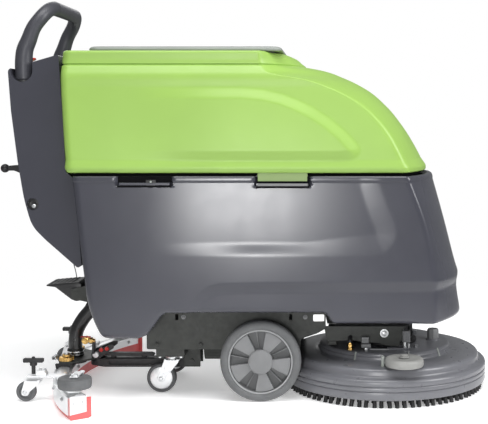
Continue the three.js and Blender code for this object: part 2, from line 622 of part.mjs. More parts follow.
// ---------------------------------------------------------------- foot pedal
function addPedal() {
  const { x, y, z, halfWidth } = PEDAL;
  const tread = [[-88, 16], [-84, 20], [2, 30], [10, 22], [10, -8], [-4, -8], [-8, 6], [-72, 6]];
  const pad = sidePlate(tread, -halfWidth, halfWidth);
  const bore = rod("y", 7.4, 2 * halfWidth + 10, [0, 0, 0], 16);
  add("foot_pedal", cut(join(pad, rod("y", 13, 2 * halfWidth, [0, 0, 0], 20)), bore), BLACK, [x, y, z]);
  const ear = [[-14, -12], [40, -24], [40, 24], [-14, 12]];
  const ears = [-1, 1].map((end) => {
    const inner = end * (halfWidth + 1);
    const outer = end * (halfWidth + 6);
    return sidePlate(ear, Math.min(inner, outer), Math.max(inner, outer));
  });
  const back = block([34, -halfWidth - 6, -22], [40, halfWidth + 6, 22]);
  const pin = rod("y", 7, 2 * halfWidth + 14, [0, 0, 0], 16);
  add("pedal_bracket", join(...ears, back, pin), DARK_STEEL, [x, y, z]);
}

// ---------------------------------------------------------------- tank latch
function addLatch() {
  const y = -BODY_HALF_WIDTH + 2;
  const paddle = block([-12, y - 4, 542], [12, y + 1, 556]);
  add("tank_latch", paddle, LID_GREY, [-228, 0, 0]);
}

addTanks();
addBatteries();
addChassis();
addDrive();
addRearCasters();
addBrushDeck();
addSqueegee();
addSuctionHose();
addConsole();
addPedal();
addLatch();

export default machine;
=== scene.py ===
"""Looks for the walk-behind wet dry floor scrubber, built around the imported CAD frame.

Helpers take millimetres in the frame's axes (+X forward, +Y left, +Z up) and make meshes in metres.
A mesh is a pair of vertices and faces; an outline or profile is a list of points.
"""

import json
import math

import bmesh
import bpy
import numpy as np
from mathutils import Euler, Matrix, Vector


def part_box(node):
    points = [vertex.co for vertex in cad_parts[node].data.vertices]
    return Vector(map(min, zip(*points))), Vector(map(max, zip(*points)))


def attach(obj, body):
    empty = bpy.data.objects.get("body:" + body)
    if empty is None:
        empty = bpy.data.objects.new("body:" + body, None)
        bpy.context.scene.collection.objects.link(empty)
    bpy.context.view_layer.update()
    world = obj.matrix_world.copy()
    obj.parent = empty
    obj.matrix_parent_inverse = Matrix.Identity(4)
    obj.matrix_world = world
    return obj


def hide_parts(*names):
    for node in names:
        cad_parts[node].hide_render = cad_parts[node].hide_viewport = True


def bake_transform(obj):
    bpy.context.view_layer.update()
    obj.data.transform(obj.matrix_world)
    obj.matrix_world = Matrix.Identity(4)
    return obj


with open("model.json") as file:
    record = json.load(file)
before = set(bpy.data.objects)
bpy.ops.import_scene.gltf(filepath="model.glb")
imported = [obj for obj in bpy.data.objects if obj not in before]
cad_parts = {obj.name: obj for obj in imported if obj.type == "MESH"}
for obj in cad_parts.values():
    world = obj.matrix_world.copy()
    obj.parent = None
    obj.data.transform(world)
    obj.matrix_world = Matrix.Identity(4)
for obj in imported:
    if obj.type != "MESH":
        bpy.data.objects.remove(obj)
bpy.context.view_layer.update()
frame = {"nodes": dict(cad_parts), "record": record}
MM = 0.001
SIDES = (("right", -1), ("left", 1))
BLACK, ZINC, DARK = "black_plastic", "zinc_bright", "dark_steel"


def node_box(node):
    """Lowest and highest corner of a CAD node, in millimetres."""
    low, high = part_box(node)
    return np.array(low) / MM, np.array(high) / MM


def node_centre(node):
    low, high = node_box(node)
    return (low + high) / 2


# ---------------------------------------------------------------- materials
class Look:
    """A principled material with its node tree, built up by small steps."""

    def __init__(self, name, rough, metal=0.0, sockets=()):
        self.material = bpy.data.materials.new(name)
        self.material.use_nodes = True
        self.nodes, self.links = self.material.node_tree.nodes, self.material.node_tree.links
        self.shader = self.nodes["Principled BSDF"]
        for socket, value in (("Roughness", rough), ("Metallic", metal), *sockets):
            self.shader.inputs[socket].default_value = value
        self.place = self.nodes.new("ShaderNodeTexCoord").outputs["Object"]

    def add(self, kind, **inputs):
        """A new node, with each input set to a value or linked from an output."""
        node = self.nodes.new("ShaderNode" + kind)
        for name, value in inputs.items():
            socket = node.inputs[name.replace("_", " ")]
            if isinstance(value, bpy.types.NodeSocket):
                self.links.new(value, socket)
            else:
                socket.default_value = value
        return node

    def noise(self, size, detail=3.0):
        """Noise whose features are about size millimetres across."""
        return self.add("TexNoise", Vector=self.place, Scale=1 / (size * MM), Detail=detail).outputs["Fac"]

    def colour(self, base, spread, size):
        """The base colour, drifting a little lighter and darker over the surface."""
        drift = self.add("ValToRGB", Fac=self.noise(size))
        stops = ((0.3, 1 - spread), (0.7, 1 + spread))
        for element, (position, factor) in zip(drift.color_ramp.elements, stops):
            element.position = position
            element.color = (*[min(c * factor, 1) for c in base], 1)
        self.links.new(drift.outputs["Color"], self.shader.inputs["Base Color"])

    def roughness(self, low, high, size):
        span = self.add("MapRange", Value=self.noise(size), From_Min=0.3, From_Max=0.7, To_Min=low,
                        To_Max=high)
        self.links.new(span.outputs["Result"], self.shader.inputs["Roughness"])

    def bump(self, size, depth, strength):
        bump = self.add("Bump", Height=self.noise(size, 2.0), Strength=strength, Distance=depth * MM)
        self.links.new(bump.outputs["Normal"], self.shader.inputs["Normal"])


def coat(weight, rough=None):
    sockets = (("Coat Weight", weight),)
    return sockets if rough is None else (*sockets, ("Coat Roughness", rough))


# For each slot: the material's name, roughness, metal and other sockets; its colour, spread and size;
# its roughness from, to and size; its bump's size, depth and strength. Sizes and depths are millimetres.
LOOK_TABLE = {
    "green_shell": (("green_moulding", 0.42, 0, coat(0.04, 0.3)), ((0.298, 0.487, 0.096), 0.035, 160),
                    (0.4, 0.44, 30), (1.6, 0.03, 0.25)),
    "grey_shell": (("dark_grey_moulding", 0.36), ((0.05, 0.051, 0.064), 0.05, 150),
                   (0.235, 0.255, 40), (1.4, 0.02, 0.25)),
    "lid_grey": (("lid_grey_moulding", 0.45), ((0.27, 0.29, 0.27), 0.05, 80), (0.4, 0.5, 20),
                 (1.4, 0.05, 0.4)),
    BLACK: (("black_moulding", 0.5), ((0.012, 0.012, 0.013), 0.2, 40), (0.42, 0.58, 12), (1.0, 0.05, 0.5)),
    "rubber": (("grey_rubber", 0.8), ((0.115, 0.118, 0.121), 0.1, 30), (0.7, 0.88, 8), (0.9, 0.08, 0.6)),
    "rim_grey": (("wheel_centre_grey", 0.5), ((0.165, 0.168, 0.172), 0.06, 30), (0.42, 0.55, 14),
                 (1.2, 0.05, 0.4)),
    DARK: (("dark_powder_coat", 0.55, 0.3), ((0.034, 0.036, 0.033), 0.12, 35), (0.48, 0.62, 10),
           (0.8, 0.06, 0.6)),
    "steel": (("zinc_plate", 0.3, 1.0), ((0.62, 0.63, 0.64), 0.08, 16), (0.24, 0.42, 9), (2.5, 0.02, 0.4)),
    "deck_grey": (("deck_grey_casting", 0.42), ((0.135, 0.137, 0.15), 0.06, 50), (0.27, 0.33, 24),
                  (1.3, 0.02, 0.3)),
    "brush_black": (("bristle_black", 0.6), ((0.01, 0.01, 0.011), 0.3, 12), (0.5, 0.7, 6), (0.8, 0.1, 0.7)),
    "blade_red": (("squeegee_red", 0.45), ((0.62, 0.12, 0.12), 0.08, 25), (0.38, 0.52, 9), (1.2, 0.04, 0.4)),
    "handle_grey": (("handle_grey_moulding", 0.42), ((0.05, 0.051, 0.061), 0.06, 60),
                    (0.38, 0.44, 16), (1.2, 0.04, 0.35)),
    "rim_light": (("wheel_pale_grey", 0.4), ((0.27, 0.275, 0.28), 0.05, 20), (0.34, 0.46, 10),
                  (1.0, 0.04, 0.35)),
    # Painted shade: a near-black, dull look that stands in for the shadow in the seam gap, the finger pockets
    # and the deck foot's slot.
    "painted_shade_black": (("shadowed_recess", 0.95, 0, (("Specular IOR Level", 0.1),)),
                  ((0.005, 0.005, 0.006), 0.1, 30),
                  (0.9, 1.0, 20), (1.2, 0.03, 0.3)),
    # Painted shade: a darker, duller copy of the green moulding, for the shade on the tab inside its pocket.
    "tab_green_painted_shade": (("green_tab", 0.7), ((0.25, 0.34, 0.14), 0.04, 40), (0.66, 0.74, 20), (1.2, 0.03, 0.3)),
    # Painted shade: a darker copy of the wheel grey, for the shade in the wheel's recessed sectors.
    "rim_painted_shade": (("wheel_recess_grey", 0.55), ((0.12, 0.123, 0.126), 0.06, 30), (0.5, 0.6, 14),
                  (1.2, 0.05, 0.4)),
    "rubber_dark": (("dark_rubber", 0.75), ((0.075, 0.077, 0.08), 0.1, 20), (0.66, 0.84, 7),
                    (0.8, 0.08, 0.6)),
    "rubber_guide": (("guide_roller_rubber", 0.7), ((0.115, 0.118, 0.122), 0.1, 20),
                     (0.6, 0.78, 7), (0.8, 0.08, 0.5)),
    "hose_black": (("hose_black_rubber", 0.3, 0, coat(0.25, 0.2)), ((0.013, 0.013, 0.014), 0.15, 30),
                   (0.26, 0.38, 12), (1.4, 0.04, 0.4)),
    ZINC: (("bright_zinc_plate", 0.3, 0.55), ((0.78, 0.79, 0.8), 0.03, 60), (0.28, 0.36, 30),
           (8.0, 0.008, 0.15)),
    "bumper_grey": (("bumper_warm_grey", 0.5), ((0.25, 0.25, 0.24), 0.06, 24), (0.42, 0.58, 10),
                    (1.1, 0.05, 0.45)),
    "brass": (("brass", 0.28, 1.0), ((0.62, 0.4, 0.14), 0.12, 10), (0.22, 0.38, 6), (1.5, 0.02, 0.4)),
    "red_plastic": (("red_moulding", 0.3), ((0.55, 0.02, 0.015), 0.06, 15), (0.25, 0.36, 8),
                    (1.0, 0.03, 0.3)),
    "display_glass": (("display_window", 0.12, 0, coat(0.6)), ((0.01, 0.014, 0.02), 0.2, 20),
                      (0.1, 0.16, 12), (6.0, 0.01, 0.2)),
}


def make_look(base, colour, roughness, bump):
    look = Look(*base)
    look.colour(*colour)
    look.roughness(*roughness)
    look.bump(*bump)
    return look.material


LOOKS = {slot: make_look(*row) for slot, row in LOOK_TABLE.items()}
NODE_SLOTS = {part["node"]: part["material_slot"] for part in frame["record"]["subparts"]}


# ---------------------------------------------------------------- mesh helpers
def sharpen(obj, angle=35):
    """Smooth shading, with edges steeper than angle degrees kept crisp."""
    bm = bmesh.new()
    bm.from_mesh(obj.data)
    bmesh.ops.recalc_face_normals(bm, faces=bm.faces)
    for face in bm.faces:
        face.smooth = True
    for edge in bm.edges:
        edge.smooth = edge.calc_face_angle(0.0) < math.radians(angle)
    bm.to_mesh(obj.data)
    bm.free()
    return obj


def mesh_object(name, mesh):
    """An object in the scene made from millimetre vertices and faces."""
    verts, faces = mesh
    data = bpy.data.meshes.new(name)
    data.from_pydata([tuple(v) for v in np.asarray(verts) * MM], [], [tuple(f) for f in faces])
    obj = bpy.data.objects.new(name, data)
    bpy.context.scene.collection.objects.link(obj)
    return obj


def dress(obj, slot, angle=35):
    obj.data.materials.append(LOOKS[slot])
    sharpen(obj, angle)
    return obj


def piece(name, mesh, slot, body, angle=35):
    """A new piece in its material, riding on its body."""
    obj = dress(mesh_object(name, mesh), slot, angle)
    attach(obj, body)
    return obj


def soften(obj, width, segments=3, angle=30):
    """Rounds the piece's hard edges by width millimetres."""
    bevel = obj.modifiers.new("rounded_edges", "BEVEL")
    bevel.width = width * MM
    bevel.segments = segments
    bevel.limit_method = "ANGLE"
    bevel.angle_limit = math.radians(angle)
    bevel.harden_normals = True
    return obj


def stands_for(obj, *nodes):
    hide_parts(*nodes)
    return obj


def grid_faces(rows, columns, closed_up=False):
    """Quads between rings of vertices; closed_up also joins the last ring to the first."""
    faces = []
    for row in range(rows if closed_up else rows - 1):
        first, above = row * columns, (row + 1) % rows * columns
        for column in range(columns):
            beside = (column + 1) % columns
            faces.append((first + column, first + beside, above + beside, above + column))
    return faces


def stack(rings):
    """A closed surface through rings of points, capped at both ends."""
    rows, columns = len(rings), len(rings[0])
    caps = [tuple(reversed(range(columns))), tuple(range((rows - 1) * columns, rows * columns))]
    return np.vstack(rings), grid_faces(rows, columns) + caps


def ring_band(rings):
    """A closed band: rings joined in a loop, such as a gasket's section swept round."""
    return np.vstack(rings), grid_faces(len(rings), len(rings[0]), True)


def box_mesh(low, high):
    (x0, y0, z0), (x1, y1, z1) = low, high
    return stack([np.array([(x0, y0, z), (x1, y0, z), (x1, y1, z), (x0, y1, z)], float) for z in (z0, z1)])


def prism_mesh(outline, low, high, axis="y"):
    """An outline extruded from low to high along axis. Outline points are the other two axes, in order."""
    flat = np.array(outline, float)
    return stack([np.insert(flat, "xyz".index(axis), level, axis=1) for level in (low, high)])


AXIS_TURNS = {"x": Matrix.Rotation(math.pi / 2, 3, "Y"), "y": Matrix.Rotation(-math.pi / 2, 3, "X"),
              "z": Matrix.Identity(3)}


def turned_mesh(profile, centre=(0, 0, 0), axis="z", steps=64):
    """A [radius, height] profile turned about an axis; it closes on itself or ends on the axis."""
    turn = np.linspace(0, 2 * math.pi, steps, endpoint=False)
    verts = np.array([[(r * math.cos(t), r * math.sin(t), h) for t in turn] for r, h in profile], float)
    on_axis = profile[0][0] == 0 and profile[-1][0] == 0
    faces = grid_faces(len(profile), steps, not on_axis)
    return verts.reshape(-1, 3) @ np.array(AXIS_TURNS[axis]).T + np.array(centre, float), faces


def band(inner, outer, low, high):
    """The profile of a plain ring or, from 0, of a plain cylinder."""
    return [(inner, low), (outer, low), (outer, high), (inner, high)]


def mirrored(profile, sign):
    """A profile with its heights turned over when sign is -1."""
    return [(r, sign * h) for r, h in profile]


def span(sign, *places):
    """Places on one side of the machine, lowest first."""
    return sorted(sign * place for place in places)


def spun(mesh, turn, x=0, y=0):
    """A mesh turned about the upright axis and moved to (x, y)."""
    verts, faces = mesh
    vx, vy, vz = np.array(verts, float).T
    cos, sin = math.cos(turn), math.sin(turn)
    return np.column_stack((x + vx * cos - vy * sin, y + vx * sin + vy * cos, vz)), faces


def welded(obj, distance=0.001):
    """Merges the vertices that lie together, such as a turned profile's on its axis."""
    bm = bmesh.new()
    bm.from_mesh(obj.data)
    bmesh.ops.remove_doubles(bm, verts=bm.verts, dist=distance * MM)
    bmesh.ops.dissolve_degenerate(bm, edges=bm.edges, dist=distance * MM)
    bm.to_mesh(obj.data)
    bm.free()
    return sharpen(obj)


def turned(name, profile, slot, body, centre=(0, 0, 0), axis="z", steps=64, angle=35):
    return welded(piece(name, turned_mesh(profile, centre, axis, steps), slot, body, angle))


def rod(name, radius, low, high, slot, body, axis="z", centre=(0, 0), chamfer=0.8, steps=32):
    """A round bar with chamfered ends from low to high along axis; centre is its place on the other two."""
    c = min(chamfer, radius * 0.4, (high - low) * 0.4)
    profile = [(0, low), (radius - c, low), (radius, low + c), (radius, high - c), (radius - c, high),
               (0, high)]
    at = np.insert(np.array(centre, float), "xyz".index(axis), 0)
    return turned(name, profile, slot, body, at, axis, steps)


def box(name, low, high, slot, body, edge=1.0):
    return soften(piece(name, box_mesh(low, high), slot, body), edge)


def prism(name, outline, low, high, slot, body, axis="y", edge=1.0):
    return soften(piece(name, prism_mesh(outline, low, high, axis), slot, body), edge)


def smooth_path(points, steps):
    """A Catmull-Rom curve through points, as an array of steps + 1 points."""
    p = np.array(points, float)
    p = np.vstack([2 * p[0] - p[1], p, 2 * p[-1] - p[-2]])
    out = []
    for t in np.linspace(0, len(p) - 3, steps + 1):
        k = min(int(t), len(p) - 4)
        s = t - k
        a, b, c, d = p[k:k + 4]
        out.append(0.5 * (2 * b + (c - a) * s + (2 * a - 5 * b + 4 * c - d) * s ** 2
                          + (3 * b - a - 3 * c + d) * s ** 3))
    return np.array(out)


def tube_mesh(path, radii, sides=24):
    """A round tube along path, with a radius for each point."""
    path = np.array(path, float)
    tangents = np.gradient(path, axis=0)
    tangents /= np.linalg.norm(tangents, axis=1)[:, None]
    across = np.cross(tangents[0], (0.31, 0.87, 0.37))
    turn = np.linspace(0, 2 * math.pi, sides, endpoint=False)[:, None]
    rings = []
    for point, tangent, radius in zip(path, tangents, np.broadcast_to(radii, len(path))):
        across = across - tangent * np.dot(across, tangent)
        across /= np.linalg.norm(across)
        rings.append(point + radius * (np.cos(turn) * across + np.sin(turn) * np.cross(tangent, across)))
    return stack(rings)


def tube(name, path, radii, slot, body, sides=24):
    return piece(name, tube_mesh(path, radii, sides), slot, body, 50)


def closed(mesh):
    """A mesh with the doubled points on an axis merged, ready for a boolean."""
    verts, faces = mesh
    bm = bmesh.new()
    made = [bm.verts.new(v) for v in np.asarray(verts, float)]
    for face in faces:
        bm.faces.new([made[k] for k in face])
    bmesh.ops.remove_doubles(bm, verts=bm.verts, dist=0.01)
    bmesh.ops.recalc_face_normals(bm, faces=bm.faces)
    bm.verts.index_update()
    out = [tuple(v.co) for v in bm.verts], [tuple(v.index for v in f.verts) for f in bm.faces]
    bm.free()
    return out


def carve(obj, *cutters, operation="DIFFERENCE"):
    """Cuts (or joins) plain meshes into a piece, then drops them."""
    for cutter in cutters:
        tool = sharpen(mesh_object("cutter", cutter))
        modifier = obj.modifiers.new("carve", "BOOLEAN")
        modifier.operation = operation
        modifier.solver = "EXACT"
        modifier.object = tool
        bpy.context.view_layer.update()
        graph = bpy.context.evaluated_depsgraph_get()
        carved = bpy.data.meshes.new_from_object(obj.evaluated_get(graph))
        obj.modifiers.remove(modifier)
        obj.data = carved
        bpy.data.objects.remove(tool)
    return sharpen(obj)


def rounded_outline(points, radius, steps=6):
    """A closed outline with its corners rounded; radius is one number or one for each corner."""
    p = np.array(points, float)
    radii = np.broadcast_to(radius, len(p))
    out = []
    for k, corner in enumerate(p):
        before, after = p[k - 1] - corner, p[(k + 1) % len(p)] - corner
        back, ahead = np.linalg.norm(before), np.linalg.norm(after)
        reach = min(radii[k], back * 0.48, ahead * 0.48)
        start, end = corner + before / back * reach, corner + after / ahead * reach
        for t in np.linspace(0, 1, steps if reach > 0 else 1):
            out.append((1 - t) ** 2 * start + 2 * t * (1 - t) * corner + t * t * end)
    return np.array(out)


def rounded_rectangle(x0, x1, half, corner, z, steps=8):
    """A closed ring with round corners, anticlockwise from above."""
    points = []
    for cx, cy, start in ((x1 - corner, half - corner, 0), (x0 + corner, half - corner, 90),
                          (x0 + corner, -half + corner, 180), (x1 - corner, -half + corner, 270)):
        for t in np.radians(np.linspace(start, start + 90, steps)):
            points.append((cx + corner * math.cos(t), cy + corner * math.sin(t), z))
    return np.array(points)


def smooth_closed(profile, times):
    """Corner cutting that keeps a closed profile's two ends."""
    p = np.array(profile, float)
    for _ in range(times):
        inner = np.empty((2 * (len(p) - 1), 2))
        inner[0::2] = 0.75 * p[:-1] + 0.25 * p[1:]
        inner[1::2] = 0.25 * p[:-1] + 0.75 * p[1:]
        p = np.vstack([p[:1], inner, p[-1:]])
    return p


# ---------------------------------------------------------------- moulded shells
def through(knots, at):
    """A smooth curve through (position, value) knots, read at the given positions."""
    where, value = np.array(knots, float).T
    slope = np.gradient(value, where)
    at = np.clip(at, where[0], where[-1])
    k = np.clip(np.searchsorted(where, at, "right") - 1, 0, len(where) - 2)
    gap = where[k + 1] - where[k]
    t = (at - where[k]) / gap
    return ((2 * t ** 3 - 3 * t ** 2 + 1) * value[k] + (t ** 3 - 2 * t ** 2 + t) * gap * slope[k]
            + (3 * t ** 2 - 2 * t ** 3) * value[k + 1] + (t ** 3 - t ** 2) * gap * slope[k + 1])


def ease(value, low, high):
    """0 below low, 1 above high, and a smooth step between."""
    t = np.clip((value - low) / (high - low), 0, 1)
    return t * t * (3 - 2 * t)


def depth_inside(x, z, outline):
    """How far each point is inside a closed outline; 0 outside it."""
    outline = np.array(outline, float)
    inside = np.zeros(len(x), bool)
    nearest = np.full(len(x), np.inf)
    for (ax, az), (bx, bz) in zip(outline, np.roll(outline, -1, axis=0)):
        crosses = (az > z) != (bz > z)
        with np.errstate(divide="ignore", invalid="ignore"):
            inside ^= crosses & (x < (bx - ax) * (z - az) / (bz - az) + ax)
        along = np.clip(((x - ax) * (bx - ax) + (z - az) * (bz - az)) / ((bx - ax) ** 2 + (bz - az) ** 2), 0,
                        1)
        nearest = np.minimum(nearest, np.hypot(x - ax - along * (bx - ax), z - az - along * (bz - az)))
    return np.where(inside, nearest, 0)


def bevelled(depth, width, soft=0.18):
    """A straight slope from 0 to 1 over width, with its two corners a little rounded."""
    t = np.clip(depth / width, 0, 1)
    return (1 - soft) * t + soft * t * t * (3 - 2 * t)


class Shell:
    """A tank wall: half outlines in plan at each height, mirrored and stacked."""

    NOSE, SIDE, CORNER, REAR = 44, 165, 8, 12  # points along each stretch of the half outline
    CREASE_REACH = 3
    LEAST_CORNER = 2.0

    def __init__(self, rear, shoulder, nose, half, corner, bow=2.2):
        self.rear, self.shoulder, self.nose, self.half = rear, shoulder, nose, half
        self.corner, self.bow = corner, bow

    def outline(self, z, inset=0.0):
        """The right half of the plan outline, nose to rear; z is one height or one for each point."""
        n, s, c, r = self.NOSE, self.SIDE, self.CORNER, self.REAR
        z = np.broadcast_to(np.asarray(z, float), n + s + c + r)
        half = through(self.half, z) - inset
        shoulder = through(self.shoulder, z) - inset * 0.6
        nose = through(self.nose, z) - inset
        rear = through(self.rear, z) + inset
        corner = max(self.corner - inset, self.LEAST_CORNER)
        bow = np.linspace(0, 1, n, endpoint=False)
        side = np.linspace(0, 1, s, endpoint=False)
        turn = np.linspace(0, math.pi / 2, c, endpoint=False)
        a, b, d, e = np.split(np.arange(n + s + c + r), (n, n + s, n + s + c))
        x = np.concatenate((shoulder[a] + (nose[a] - shoulder[a]) * (1 - bow ** self.bow),
                            shoulder[b] + (rear[b] + corner - shoulder[b]) * side,
                            rear[d] + corner - corner * np.sin(turn), rear[e]))
        y = np.concatenate((-half[a] * bow, -half[b], -half[d] + corner - corner * np.cos(turn),
                            (-half[e] + corner) * (1 - np.linspace(0, 1, r))))
        k = np.arange(n - self.CREASE_REACH, n + self.CREASE_REACH + 1)
        for _ in range(self.CREASE_REACH):
            for line in (x, y):
                line[k] = (line[k - 1] + 2 * line[k] + line[k + 1]) / 4
        return x, y

    def plain_ring(self, z, inset, level=None, low=(-np.inf, -np.inf), high=np.inf):
        """A level ring of the outline drawn in by inset, and kept within limits."""
        x, y = self.outline(z, inset)
        level = z if level is None else level
        return mirror_ring(np.clip(x, low[0], high), np.clip(y, low[1], 0), np.full(len(x), level))


def mirror_ring(x, y, z):
    right = np.column_stack((x, y, z))
    return np.vstack((right[::-1] * (1, -1, 1), right))[::-1]


def raised_ring(x, y, z, out):
    """A ring whose points stand out from a half outline by out millimetres."""
    dx, dy = np.gradient(x), np.gradient(y)
    size = np.hypot(dx, dy) + 1e-9
    return mirror_ring(x - dy / size * out, y + dx / size * out, np.broadcast_to(z, len(x)))


def strip_cap(first, count, flip):
    """Quads across a symmetrical ring, from each point to its mirror image."""
    faces = []
    for k in range(count // 2 - 1):
        quad = (first + k, first + k + 1, first + count - 2 - k, first + count - 1 - k)
        faces.append(quad[::-1] if flip else quad)
    return faces


def shell_piece(name, rings, slot, body):
    rows, count = len(rings), len(rings[0])
    faces = grid_faces(rows, count) + strip_cap(0, count, True) + strip_cap((rows - 1) * count, count, False)
    return welded(piece(name, (np.vstack(rings), faces), slot, body, 40), 0.01)


def edge_round(height, radius):
    """How far a rounded edge of that radius draws in, at a height above (or depth below) the edge."""
    h = np.clip(height, 0, radius)
    return radius - np.sqrt(np.maximum(radius ** 2 - (radius - h) ** 2, 0))


# ---------------------------------------------------------------- solution tank
SEAM = node_box("recovery_tank")[0][2]
TANK_TOP = SEAM - 0.4
TANK_LOW = 164.0
BODY_HALF = node_box("solution_tank")[1][1]
WALL = 7.0
UNDERSIDE = [(-600, 164), (-262, 164), (-243, 172), (-207, 221), (-195, 227), (193, 227), (201, 222),
             (213, 203), (222, 200), (700, 200)]
SOLUTION = Shell(
    rear=[(164, -352), (200, -370), (245, -385), (332, -397), (443, -410), (565, -422)],
    shoulder=[(164, 468), (205, 470), (257, 471), (332, 464), (443, 443), (565, 398)],
    nose=[(164, 560), (200, 559), (250, 551), (266, 549), (290, 549), (332, 537), (443, 508), (565, 474)],
    half=[(164, 234), (250, 237), (400, 239), (565, 240)],
    corner=16.0,
    bow=2.1,
)
# The side panel is sunk inside this outline; it fades out towards the rear.
SUNK_PANEL = [(-900, 700), (329, 700), (329, 548), (345, 500), (365, 452), (371, 428), (370, 412), (360, 394),
              (340, 376), (310, 371), (-900, 371)]
# Below this line the skirt steps in, like an arch over the wheel.
ARCH_LINE = [(-900, 100), (-146, 100), (-146, 228), (-128, 255), (-104, 283), (-82, 296), (-56, 301),
             (700, 309),
             (700, 100)]
# Finger pockets under the seam: from and to along the machine, and their floor.
POCKETS = {"rear": (-311, -177, 541), "front": (26, 159, 539)}
POCKET_DEPTH = 14


def solution_relief(x, z):
    """How far the side of the lower tank stands out (+) or in (-)."""
    panel = bevelled(depth_inside(x, z, SUNK_PANEL), 30 + 20 * ease(x, 120, 320)) * ease(x, -240, 40)
    panel = panel * (1 - 0.5 * ease(x, -20, 340))
    arch = bevelled(depth_inside(x, z, ARCH_LINE), 24)
    top_band = 1.6 * ease(z, SEAM - 15, SEAM - 12)
    return -5 * panel - 7 * arch + top_band


def grip_pocket(x, y, z, low, high, floor):
    """How deep a finger pocket is sunk into both sides, up to the seam."""
    inside = ease(x, low - 3, low + 3) * (1 - ease(x, high - 3, high + 3)) * ease(z, floor - 3, floor + 3)
    return np.where(np.abs(y) > BODY_HALF - 16, POCKET_DEPTH * inside, 0)


def make_solution_tank():
    rings = []
    heights = np.concatenate((np.linspace(0, 16, 6), np.linspace(20, 340, 72), np.linspace(344, 401, 24)))
    for height in heights:
        z = np.full(len(SOLUTION.outline(TANK_LOW)[0]), TANK_LOW + height)
        for _ in range(3):
            x, y = SOLUTION.outline(z)
            floor = np.interp(x, *zip(*UNDERSIDE))
            z = floor + height / heights[-1] * (TANK_TOP - floor)
        out = solution_relief(x, z) - edge_round(z - floor,
                                                 14 - 7 * ease(x, 380, 460)) - edge_round(SEAM - z, 5)
        out = out - sum(grip_pocket(x, y, z, *pocket) for pocket in POCKETS.values())
        rings.append(raised_ring(x, y, z, out))
    inner = WALL + 9
    for inset, z in ((9, TANK_TOP), (inner, TANK_TOP - 8), (inner, 400), (inner, 236)):
        rings.append(SOLUTION.plain_ring(z, inset, low=(-np.inf, 17 - BODY_HALF)))
    stands_for(shell_piece("lower_tank_shell", rings, "grey_shell", "chassis"), "solution_tank")


# ---------------------------------------------------------------- recovery tank
LID_LOW, LID_HIGH = node_box("tank_lid")
LIP = SEAM + 7.5  # the upper tank's lower edge; a seal fills the gap below it
DECK_TOP = LID_LOW[2] + 12  # the recovery tank's flat top, under the lid
RIM_FOOT = DECK_TOP - 34
CREASE = DECK_TOP - 56
RECOVERY = Shell(
    rear=[(565, -436), (615, -441), (715, -448), (800, -453), (840, -453), (872, -450)],
    shoulder=[(565, 399), (590, 392), (616, 380), (640, 368), (663, 355), (700, 327), (737, 288), (768, 236),
              (788, 188), (802, 140), (812, 84), (819, 56), (828, 44), (838, 40), (872, 36)],
    nose=[(565, 464), (583, 456), (633, 431), (687, 397), (738, 355), (783, 300), (810, 246), (829, 193),
          (838, 150), (845, 138), (860, 119), (866, 106), (872, 92)],
    half=[(565, 237), (600, 236), (700, 231), (780, 225), (816, 222), (826, 217), (838, 211), (872, 211)],
    corner=20.0,
)
# The raised flash on the tank's side; it fades out towards the rear.
FLASH = [(-900, 781), (-207, 781), (-7, 781), (44, 776), (93, 765), (132, 750), (168, 732), (207, 707),
         (242, 678), (264, 655), (279, 637), (280, 622), (272, 610), (258, 603), (230, 601), (-900, 601)]


def recovery_relief(x, z):
    """How far the side of the upper tank stands out."""
    flash = bevelled(depth_inside(x, z, FLASH), 26) * ease(x, -300, -20)
    foot = np.interp(z, (LIP, LIP + 4, LIP + 11, LIP + 14, LIP + 31), (-1.5, 1.0, 4.0, 4.0, 0.0))
    groove = -4.0 * ease(z, RIM_FOOT - 4, RIM_FOOT - 1) * (1 - ease(z, RIM_FOOT, RIM_FOOT + 3))
    return 9.5 * flash + foot + groove


def make_recovery_tank():
    rings = []
    heights = np.concatenate((np.linspace(LIP, LIP + 8, 6), np.linspace(LIP + 10, DECK_TOP - 64, 76),
                              np.linspace(DECK_TOP - 61, DECK_TOP - 8, 30),
                              np.linspace(DECK_TOP - 6, DECK_TOP, 6)))
    for z in heights:
        x, y = RECOVERY.outline(z)
        out = recovery_relief(x, np.full(len(x), z)) - edge_round(z - LIP, 3) - edge_round(DECK_TOP - z, 7)
        rings.append(raised_ring(x, y, z, out))
    for z in (DECK_TOP, DECK_TOP - 6):
        rings.append(RECOVERY.plain_ring(DECK_TOP, 10, z, LID_LOW[:2] + 25, LID_HIGH[0] - 25))
    for z in (DECK_TOP - 6.5, RIM_FOOT, CREASE, 760, 700, 640, LIP + WALL):
        rings.append(RECOVERY.plain_ring(z, WALL + 1))
    stands_for(shell_piece("upper_tank_shell", rings, "green_shell", "recovery"), "recovery_tank")
    seal = [RECOVERY.plain_ring(SEAM + 8, inset, z)
            for inset, z in ((13, SEAM + 0.3), (13, LIP + 1), (26, LIP + 1), (26, SEAM + 0.3))]
    # The seal takes the near-black painted shade look, standing in for the shadow in the seam gap.
    piece("tank_seal", ring_band(seal), "painted_shade_black", "recovery")


